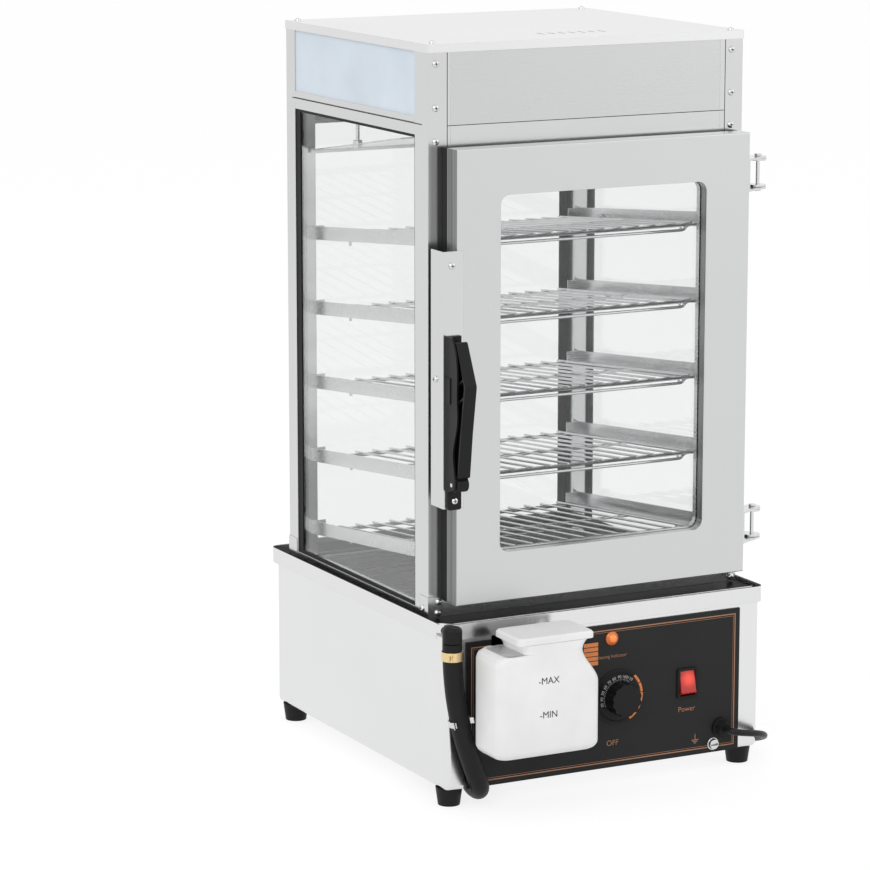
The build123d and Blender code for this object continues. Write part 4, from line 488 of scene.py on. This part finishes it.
def rack_outline(level):
    """The frame wire, a rectangle with rounded corners."""
    points = []
    for x, forward, start in ((RACK_RIGHT, 0, 270), (RACK_LEFT, 0, 180), (RACK_LEFT, RACK_DEPTH, 90),
                              (RACK_RIGHT, RACK_DEPTH, 0)):
        middle_x = x - RACK_ROUND if x > 0 else x + RACK_ROUND
        middle_f = forward - RACK_ROUND if forward else RACK_ROUND
        for n in range(ROUND_STEPS + 1):
            angle = radians(start - 90 * n / ROUND_STEPS)
            points.append(on_rack(level, middle_x + RACK_ROUND * cos(angle),
                                  middle_f + RACK_ROUND * sin(angle)))
    return points


def make_rack(level, materials):
    name = f"rack_wires_{level + 1}"
    data = new_curve(name, FRAME_WIRE * MM, resolution=4)
    add_line(data, rack_outline(level), closed=True)
    middle = (RACK_LEFT + RACK_RIGHT) / 2
    for number in range(ROD_COUNT):
        x = middle + (number - (ROD_COUNT - 1) / 2) * ROD_PITCH
        ends = (-ROD_PAST, RACK_DEPTH + ROD_PAST)
        add_line(data, [on_rack(level, x, end, ROD_UP) for end in ends], radius=ROD_SHARE)
    add_line(data, [on_rack(level, side, RACK_DEPTH / 2, MIDDLE_UP) for side in (RACK_LEFT, RACK_RIGHT)],
             radius=THIN_SHARE)
    left = [on_rack(level, RACK_LEFT + aside, RACK_DEPTH - back, -down) for aside, back, down in STEP_BENDS]
    right = [on_rack(level, RACK_RIGHT - aside, RACK_DEPTH - back, -down) for aside, back, down in STEP_BENDS]
    add_line(data, left + right[::-1], "NURBS", THIN_SHARE)
    for side, inner, at in HOOKS:
        add_line(data, [on_rack(level, side + (inner - side) * share, at, up) for share, up in HOOK_BENDS],
                 "NURBS", THIN_SHARE)
    rack = link_piece(name, data, f"shelf_{level + 1}", materials["chrome"])
    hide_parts(f"rack_{level + 1}")


# Pan-head screws: places in mm, and the way each one faces
SCREW_R = 3.4
SCREW_H = 2.2
SCREW_SIDES = 24
# The dome from rim to tip: share of the radius, and share of the height
SCREW_DOME = ((1.0, 0.0), (1.0, 0.35), (0.93, 0.62), (0.72, 0.88), (0.42, 1.0), (0.001 / SCREW_R, 1.02))
RECESS_ARM, RECESS_HALF, RECESS_UP = SCREW_R * 0.52, SCREW_R * 0.12, SCREW_H * 1.04
FRONT, UPWARD, LEFTWARD = (0, -1, 0), (0, 0, 1), (-1, 0, 0)
CABINET_SCREWS = [((x, -117, z), FRONT) for x in (-177, 156) for z in (729, 686.5, 654)]
CABINET_SCREWS += [((-174, -117.8, 199.6), FRONT), ((-175, -117.8, 188.5), FRONT),
                   ((164, -117.8, 188.5), FRONT), ((-185.8, -106, 192.4), LEFTWARD)]
CABINET_SCREWS += [((x, y, 748), UPWARD) for x in (-176, 160) for y in (-108, 192)]
CABINET_SCREWS += [((151, 129, 531.6), LEFTWARD)]
DOOR_SCREWS = [((-176, -149.2, 538), FRONT), ((-185.2, -133, 426), LEFTWARD),
               ((-174.5, -152.2, 308), FRONT)]


def screw_head(mesh, place, facing):
    """A domed head with a crossed recess, added to mesh. Its recess is one flat face in the second material,
    painted dark as the shade inside it.
    """
    turn = Vector((0, 0, 1)).rotation_difference(Vector(facing)).to_matrix().to_4x4()
    move = Matrix.Translation(Vector(place) * MM) @ turn
    loops = []
    for wide, high in SCREW_DOME:
        angles = [2 * pi * n / SCREW_SIDES for n in range(SCREW_SIDES)]
        ring = [Vector((SCREW_R * wide * cos(a), SCREW_R * wide * sin(a), SCREW_H * high)) for a in angles]
        loops.append([mesh.verts.new(move @ (point * MM)) for point in ring])
    for low, high in zip(loops, loops[1:]):
        bridge(mesh, low, high)
    arm, half = RECESS_ARM, RECESS_HALF
    cross = [(half, arm), (-half, arm), (-half, half), (-arm, half), (-arm, -half), (-half, -half),
             (-half, -arm), (half, -arm), (half, -half), (arm, -half), (arm, half), (half, half)]
    top = [mesh.verts.new(move @ (Vector((x, y, RECESS_UP)) * MM)) for x, y in cross]
    # Painted shade: the recess is a flat dark face in place of a hollow in shade.
    face = mesh.faces.new(top)
    face.material_index = 1


def make_screws(materials):
    for name, places, body in (("cabinet_screw_heads", CABINET_SCREWS, "cabinet"),
                               ("door_screw_heads", DOOR_SCREWS, "door")):
        mesh = bmesh.new()
        for place, facing in places:
            screw_head(mesh, place, facing)
        piece = mesh_piece(name, mesh, body, materials["bright"])
        # The second material paints the screw recesses dark, as shade.
        piece.data.materials.append(materials["recess"])
        if body == "cabinet":
            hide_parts("cabinet_screws")


# Printed marks on the panel, in mm
PANEL_FACE = -161.5
PRINT = 0.12
PRINT_THICK = 0.05
PANEL_LEFT, PANEL_RIGHT, PANEL_LOW, PANEL_HIGH = -166.0, 148.5, 19.0, 167.0
# The double copper line: distance from the panel's edge, and width
BORDER_LINES = ((5.2, 1.1), (7.6, 0.35))
# Words: text, middle, height above the floor and letter size
PANEL_WORDS = (("label_lamp", "Heating Indicator", -2.0, 134, 5.0), ("label_off", "OFF", 0, 44, 8.0),
               ("label_power", "Power", 86.5, 68.5, 7.6))
# The earth symbol: its middle, the stem, and bars by half width and upper edge
EARTH_X, EARTH_Z = 97.0, 34.0
EARTH_LINE = 0.8
EARTH_STEM = (1.0, 7.0)
EARTH_BARS = ((4.2, 1.0), (2.8, -0.6), (1.4, -2.2))
STRIPE_COUNT = 5
STRIPE_LEFT, STRIPE_RIGHT, STRIPE_LOW = -34.0, -17.5, 127.0
STRIPE_PITCH, STRIPE_WIDE = 4.8, 4.0


def panel_strip(mesh, left, low, right, high, y=PANEL_FACE - PRINT):
    flat_strip(mesh, [(left, y, low), (right, y, low), (right, y, high), (left, y, high)])


def make_border(materials):
    """The copper line near the panel's edge, in two widths."""
    mesh = bmesh.new()
    for inset, width in BORDER_LINES:
        left, right = PANEL_LEFT + inset, PANEL_RIGHT - inset
        low, high = PANEL_LOW + inset, PANEL_HIGH - inset
        panel_strip(mesh, left, high - width, right, high)
        panel_strip(mesh, left, low, right, low + width)
        panel_strip(mesh, left, low + width, left + width, high - width)
        panel_strip(mesh, right - width, low + width, right, high - width)
    mesh_piece("panel_border", mesh, "cabinet", materials["copper"])


def words(name, text, place, size, body, material, spin=0.0):
    """Printed words, standing in the XZ plane and read from the front."""
    data = bpy.data.curves.new(name, "FONT")
    data.body = text
    data.size = size * MM
    data.align_x = "CENTER"
    data.align_y = "CENTER"
    data.extrude = PRINT_THICK * MM
    piece = link_piece(name, data, body, material)
    piece.matrix_world = (Matrix.Translation(Vector(place) * MM) @ Matrix.Rotation(spin, 4, "Y")
                          @ Matrix.Rotation(pi / 2, 4, "X"))


def make_panel_words(materials):
    for name, text, x, z, size in PANEL_WORDS:
        words(name, text, (x, PANEL_FACE - PRINT, z), size, "cabinet", materials["copper"])
    mesh = bmesh.new()
    panel_strip(mesh, EARTH_X - EARTH_LINE / 2, EARTH_Z + EARTH_STEM[0],
                EARTH_X + EARTH_LINE / 2, EARTH_Z + EARTH_STEM[1])
    for half, top in EARTH_BARS:
        panel_strip(mesh, EARTH_X - half, EARTH_Z + top - EARTH_LINE, EARTH_X + half, EARTH_Z + top)
    mesh_piece("earth_symbol", mesh, "cabinet", materials["copper"])


def make_stripes(materials):
    """The plain striped patch that shows past the tank's shoulder."""
    mesh = bmesh.new()
    for n in range(STRIPE_COUNT):
        low = STRIPE_LOW + STRIPE_PITCH * n
        panel_strip(mesh, STRIPE_LEFT, low, STRIPE_RIGHT, low + STRIPE_WIDE)
    mesh_piece("panel_stripes", mesh, "cabinet", materials["orange"])


# The dial's marks, round the knob's axis, in mm and in degrees clockwise from the top
KNOB = (6.0, 91.5)
KNOB_FACE = -166.15
DIAL_NUMBERS = range(30, 120, 10)
NUMBER_R, NUMBER_SIZE, NUMBER_START, NUMBER_PITCH = 21.3, 4.4, -105, 17
TICK_COUNT, TICK_START, TICK_PITCH, TICK_HALF = 28, -112, 5.3, 0.55
TICK_IN, TICK_LONG_IN, TICK_OUT = 17.9, 17.7, 19.2
TICKS_PER_NUMBER = 3
RIM_IN, RIM_OUT, RIM_FACE, RIM_BASE = 24.0, 28.8, -162.3, -161.7
RIM_SIDES = 64
ARC_IN, ARC_OUT, ARC_START, ARC_STOP = 25.6, 28.3, 42, 152
ARC_CELLS, ARC_GAP, ARC_STEPS = 5, 1.6, 6


def dial_point(radius, angle, y):
    return (KNOB[0] + radius * sin(angle), y, KNOB[1] + radius * cos(angle))


def dial_sector(mesh, inner, outer, start, stop, y):
    """A flat piece of a ring round the knob's axis, between two angles in degrees."""
    start, stop = radians(start), radians(stop)
    flat_strip(mesh, [dial_point(inner, start, y), dial_point(inner, stop, y),
                      dial_point(outer, stop, y), dial_point(outer, start, y)])


def make_dial_numbers(materials):
    for n, value in enumerate(DIAL_NUMBERS):
        angle = radians(NUMBER_START + n * NUMBER_PITCH)
        words(f"dial_{value}", str(value), dial_point(NUMBER_R, angle, KNOB_FACE), NUMBER_SIZE, "knob",
              materials["pale_ink"], spin=angle)
    mesh = bmesh.new()
    for n in range(TICK_COUNT):
        middle = TICK_START + n * TICK_PITCH
        inner = TICK_IN if n % TICKS_PER_NUMBER else TICK_LONG_IN
        dial_sector(mesh, inner, TICK_OUT, middle - TICK_HALF, middle + TICK_HALF, KNOB_FACE)
    mesh_piece("dial_ticks", mesh, "knob", materials["pale_ink"])


def make_dial_rim(materials):
    """A thin rim round the skirt, with a coloured arc of five cells on its right."""
    rim = bmesh.new()
    angles = [2 * pi * n / RIM_SIDES for n in range(RIM_SIDES)]
    loops = [[rim.verts.new(Vector(dial_point(radius, angle, y)) * MM) for angle in angles]
             for radius, y in ((RIM_OUT, RIM_BASE), (RIM_OUT, RIM_FACE), (RIM_IN, RIM_FACE))]
    for low, high in zip(loops, loops[1:]):
        bridge(rim, low, high)
    mesh_piece("dial_rim", rim, "knob", materials["plastic"])
    arc = bmesh.new()
    cell = (ARC_STOP - ARC_START) / ARC_CELLS
    step = (cell - ARC_GAP) / ARC_STEPS
    for c in range(ARC_CELLS):
        for s in range(ARC_STEPS):
            start = ARC_START + c * cell + ARC_GAP / 2 + step * s
            dial_sector(arc, ARC_IN, ARC_OUT, start, start + step, RIM_FACE - PRINT)
    mesh_piece("dial_arc", arc, "knob", materials["orange"])


# Water tank: blown shell with rounded edges, lofted from level rings, in mm
TANK_L, TANK_R, TANK_F, TANK_B = -170.0, -55.5, -235.0, -181.0
TANK_BOTTOM, TANK_WAIST, TANK_SHOULDER, TANK_TOP = 63.5, 140.0, 167.0, 177.0
TANK_ROUND = 9.0
TANK_WALL = 2.0
NECK_L, NECK_R = -139.0, -73.5
NECK_FLARE = 6.0
NECK_SHARES = (0.0, 0.35, 0.7, 1.0)
POCKET_L, POCKET_R, POCKET_LOW, POCKET_HIGH, POCKET_DEEP = -148.0, -81.0, 95.0, 140.0, 11.0
POCKET_SILL = 117.8
POCKET_BRIDGE = 5.0
TANK_CURVE = TANK_WAIST - 8.0
BOTTOM_STEPS, SHOULDER_STEPS, CORNER_STEPS = 6, 14, 7
RING_GAP = 0.01
NECK_GAP = 0.3
# The lid's two hinge ears: left sides and width, then their ranges in depth and height
EARS_X, EAR_WIDE = (-87, -69), 3.0
EAR_Y, EAR_Z = (TANK_B - 3, TANK_B + 4), (169, 182)
MARK_X, MARK_Y, MARK_SIZE = -114.5, -235.12, 9.4
TANK_MARKS = (("tank_max", "-MAX", 140), ("tank_min", "-MIN", 106))


def tank_rings():
    """Level rings from the bottom up: height, left, right, inset front and back, corner radius, pocket."""
    rings = []
    for k in range(BOTTOM_STEPS + 1):
        angle = pi / 2 * k / BOTTOM_STEPS
        inset = TANK_ROUND * (1 - sin(angle))
        rings.append((TANK_BOTTOM + TANK_ROUND * (1 - cos(angle)), TANK_L + inset, TANK_R - inset, inset,
                      TANK_ROUND + 1, False))
    for z, pocket in ((POCKET_LOW, False), (POCKET_LOW + RING_GAP, True), (TANK_CURVE, True)):
        rings.append((z, TANK_L, TANK_R, 0.0, TANK_ROUND + 1, pocket))
    for k in range(SHOULDER_STEPS + 1):
        share = k / SHOULDER_STEPS
        z = TANK_CURVE + (TANK_SHOULDER - TANK_CURVE) * share + 2 * RING_GAP
        slope = share * share * (3 - 2 * share)
        rise = max(0.0, z - (TANK_SHOULDER - TANK_ROUND)) / (TANK_ROUND + 3 * RING_GAP)
        round_in = TANK_ROUND * (1 - (1 - min(1, rise) ** 2) ** 0.5)
        rings.append((z, TANK_L + round_in, TANK_R + (NECK_R - TANK_R) * slope, 0.0, TANK_ROUND + 1,
                      z < POCKET_HIGH))
    neck = TANK_SHOULDER + NECK_GAP
    for share in NECK_SHARES:
        flare = NECK_FLARE * share * share
        rings.append((neck + (TANK_TOP - neck) * share, NECK_L - flare, NECK_R + flare, 0.0, TANK_ROUND,
                      False))
    return rings


def corner_arc(x, y, radius, start):
    """A quarter arc inside the corner (x, y), anticlockwise from the start angle in degrees."""
    middle_x = x + radius if start in (90, 180) else x - radius
    middle_y = y + radius if start in (180, 270) else y - radius
    angles = [radians(start + 90 * n / CORNER_STEPS) for n in range(CORNER_STEPS + 1)]
    return [(middle_x + radius * cos(angle), middle_y + radius * sin(angle)) for angle in angles]


def tank_ring(mesh, ring, wall):
    """The outline of one level ring, moved in by the wall, with the pocket's four points in its back."""
    z, left, right, inset, radius, pocket = ring
    left, right = left + wall, right - wall
    front, back = TANK_F + inset + wall, TANK_B - inset - wall
    radius -= wall
    points = []
    for x, y, start in ((left, front, 180), (right, front, 270), (right, back, 0)):
        points += corner_arc(x, y, radius, start)
    deep = back - POCKET_DEEP if pocket else back
    pocket_l, pocket_r = POCKET_L - wall, POCKET_R + wall
    points += [(pocket_r, back), (pocket_r, deep), (pocket_l, deep), (pocket_l, back)]
    points += corner_arc(left, back, radius, 90)
    return [mesh.verts.new(Vector((x, y, z)) * MM) for x, y in points]


def make_tank(materials):
    mesh = bmesh.new()
    outer = [tank_ring(mesh, ring, 0.0) for ring in tank_rings()]
    inner = [tank_ring(mesh, (max(ring[0], TANK_BOTTOM + TANK_WALL),) + ring[1:], TANK_WALL)
             for ring in tank_rings()[1:]]
    rings = outer + inner[::-1]
    for low, high in zip(rings, rings[1:]):
        bridge(mesh, low, high)
    mesh.faces.new(outer[0][::-1])
    mesh.faces.new(inner[0])
    block(mesh, (POCKET_L, POCKET_R), (TANK_B - POCKET_BRIDGE, TANK_B), (POCKET_SILL, POCKET_HIGH))
    for x in EARS_X:
        block(mesh, (x, x + EAR_WIDE), EAR_Y, EAR_Z)
    bmesh.ops.recalc_face_normals(mesh, faces=mesh.faces)
    piece = mesh_piece("tank_shell", mesh, "tank", materials["tank"])
    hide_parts("water_tank")


def make_tank_marks(materials):
    for name, text, z in TANK_MARKS:
        words(name, text, (MARK_X, MARK_Y, z), MARK_SIZE, "tank", materials["dark_ink"])


# Bead and drain slots on the tray, the slots painted dark as shade, in mm
PLINTH_TOP = 184.0
STEP_Y = -150.0
BEAD_D, BEAD_BACK, BEAD_UP = 1.1, 0.6, 0.25
BEAD_ENDS = (-186, 170)
DRAIN_SLOTS = (-98.0, 27.0)
SLOT_HALF, SLOT_R, SLOT_BACK = 9.5, 1.9, 3.6
SLOT_STEPS = 6


def make_tray_marks(materials):
    """The bright bead along the step, and the two drain slots beside it, as flat faces painted dark as the
    shade inside them.
    """
    data = new_curve("tray_bead", BEAD_D * MM)
    add_line(data, [(x, STEP_Y + BEAD_BACK, PLINTH_TOP + BEAD_UP) for x in BEAD_ENDS])
    link_piece("tray_bead", data, "cabinet", materials["bright"])
    mesh = bmesh.new()
    for middle in DRAIN_SLOTS:
        points = []
        for way, start in ((1, -90), (-1, 90)):
            for n in range(SLOT_STEPS + 1):
                angle = radians(start + 180 * n / SLOT_STEPS)
                points.append((middle + way * SLOT_HALF + SLOT_R * cos(angle),
                               STEP_Y + SLOT_BACK + SLOT_R * sin(angle), PLINTH_TOP + PRINT))
        flat_strip(mesh, points)
    # Painted shade: each slot is a flat dark face, not an opening.
    mesh_piece("drain_slot_painted_shade", mesh, "cabinet", materials["recess"])


# Dark joints on the cabinet's front and left side, in mm: the plane, then ranges along and up
FRONT_FACE = -117.15
FRONT_SEAMS = (((-164.6, -163.9), (634, 740)), ((148.4, 149.1), (634, 740)), ((-164, 148), (668.6, 669.3)))
SIDE_FACE = -185.15
SIDE_SEAM = ((-104, 187), (669.4, 670.4))


def make_seams(materials):
    """Dark joints between the header, the posts and the rails."""
    mesh = bmesh.new()
    for (left, right), (low, high) in FRONT_SEAMS:
        panel_strip(mesh, left, low, right, high, FRONT_FACE)
    (near, far), (low, high) = SIDE_SEAM
    flat_strip(mesh, [(SIDE_FACE, near, low), (SIDE_FACE, far, low),
                      (SIDE_FACE, far, high), (SIDE_FACE, near, high)])
    mesh_piece("seams", mesh, "cabinet", materials["recess"])


# The panel's corner round the hose, painted black as the shade by the hose: three oblongs by left, low, right
# and high, in mm
PATCH_FACE = PANEL_FACE - 0.02
PATCHES = ((-166, 24.6, -134, 34.5), (-140.6, 19, -134, 24.6), (-166, 19, -161.4, 24.6))


def make_panel_patch(materials):
    """Painted shade: panel-black oblongs over the casing's edge round the hose, where it lies in the hose's
    shade.
    """
    mesh = bmesh.new()
    for left, low, right, high in PATCHES:
        panel_strip(mesh, left, low, right, high, PATCH_FACE)
    # Painted shade: black panel finish over casing that lies in the hose's shade.
    mesh_piece("hose_shade_patch", mesh, "cabinet", materials["panel"])


# Studio: a white floor and world, and three soft lamps, in metres and watts
FLOOR_HALF = 30.0
FLOOR_GLOW = 1.13
FLOOR_SHARE = 0.72
AMBIENT = 0.70
LAMP_TARGET = (0, 0, 0.38)
LAMPS = (("key", (-2.6, -2.4, 2.6), 2.4, 40.0), ("fill", (2.8, -2.6, 1.8), 2.6, 16.0),
         ("top", (0.2, 0.6, 3.0), 2.0, 10.0))


def make_stage():
    """A pale floor, white to the eye and to gloss and glass, that keeps the object's shadow."""
    mesh = bmesh.new()
    corners = ((-1, -1), (1, -1), (1, 1), (-1, 1))
    mesh.faces.new([mesh.verts.new((FLOOR_HALF * x, FLOOR_HALF * y, 0)) for x, y in corners])
    data = bpy.data.meshes.new("floor")
    mesh.to_mesh(data)
    mesh.free()
    floor = bpy.data.objects.new("floor", data)
    bpy.context.collection.objects.link(floor)
    m = Nodes("floor_finish", (0.86, 0.86, 0.86), 0.9)
    m.tint(m.noise(3.0, 2.0), 0.995, 1.005)
    white = m.add("ShaderNodeEmission", Strength=FLOOR_GLOW)
    share = m.math("MULTIPLY", seen_by_eye(m.tree), FLOOR_SHARE)
    m.show(share, m.shader.outputs[0], white.outputs[0])
    data.materials.append(m.material)


def seen_by_eye(tree):
    """1 for camera, glossy and transmitted rays."""
    path = tree.nodes.new("ShaderNodeLightPath")
    result = path.outputs["Is Camera Ray"]
    for name in ("Is Glossy Ray", "Is Transmission Ray"):
        node = tree.nodes.new("ShaderNodeMath")
        node.operation = "MAXIMUM"
        tree.links.new(result, node.inputs[0])
        tree.links.new(path.outputs[name], node.inputs[1])
        result = node.outputs[0]
    return result


def make_world():
    """A plain world: pale light on the object, and white to the eye and to gloss and glass."""
    world = bpy.data.worlds.new("studio")
    bpy.context.scene.world = world
    world.use_nodes = True
    tree = world.node_tree
    ambient = tree.nodes["Background"]
    ambient.inputs["Color"].default_value = (1, 1, 1, 1)
    ambient.inputs["Strength"].default_value = AMBIENT
    white = tree.nodes.new("ShaderNodeBackground")
    white.inputs["Color"].default_value = (1, 1, 1, 1)
    white.inputs["Strength"].default_value = 1.0
    mix = tree.nodes.new("ShaderNodeMixShader")
    for source, socket in zip((seen_by_eye(tree), ambient.outputs[0], white.outputs[0]), mix.inputs):
        tree.links.new(source, socket)
    tree.links.new(mix.outputs[0], tree.nodes["World Output"].inputs["Surface"])


def make_lamps():
    for name, place, size, power in LAMPS:
        data = bpy.data.lights.new(name, "AREA")
        data.size = size
        data.energy = power
        lamp = bpy.data.objects.new(name, data)
        lamp.location = place
        lamp.rotation_euler = (Vector(LAMP_TARGET) - Vector(place)).to_track_quat("-Z", "Y").to_euler()
        bpy.context.collection.objects.link(lamp)


def main():
    bpy.context.scene.view_settings.view_transform = "Standard"
    make_camera()
    materials = make_materials()
    finish_nodes(materials)
    make_cord(materials)
    make_hose(materials)
    for level in range(RACK_COUNT):
        make_rack(level, materials)
    make_screws(materials)
    make_border(materials)
    make_panel_words(materials)
    make_dial_numbers(materials)
    make_dial_rim(materials)
    make_stripes(materials)
    make_tank(materials)
    make_tank_marks(materials)
    make_tray_marks(materials)
    make_seams(materials)
    make_panel_patch(materials)
    make_stage()
    make_world()
    make_lamps()


main()
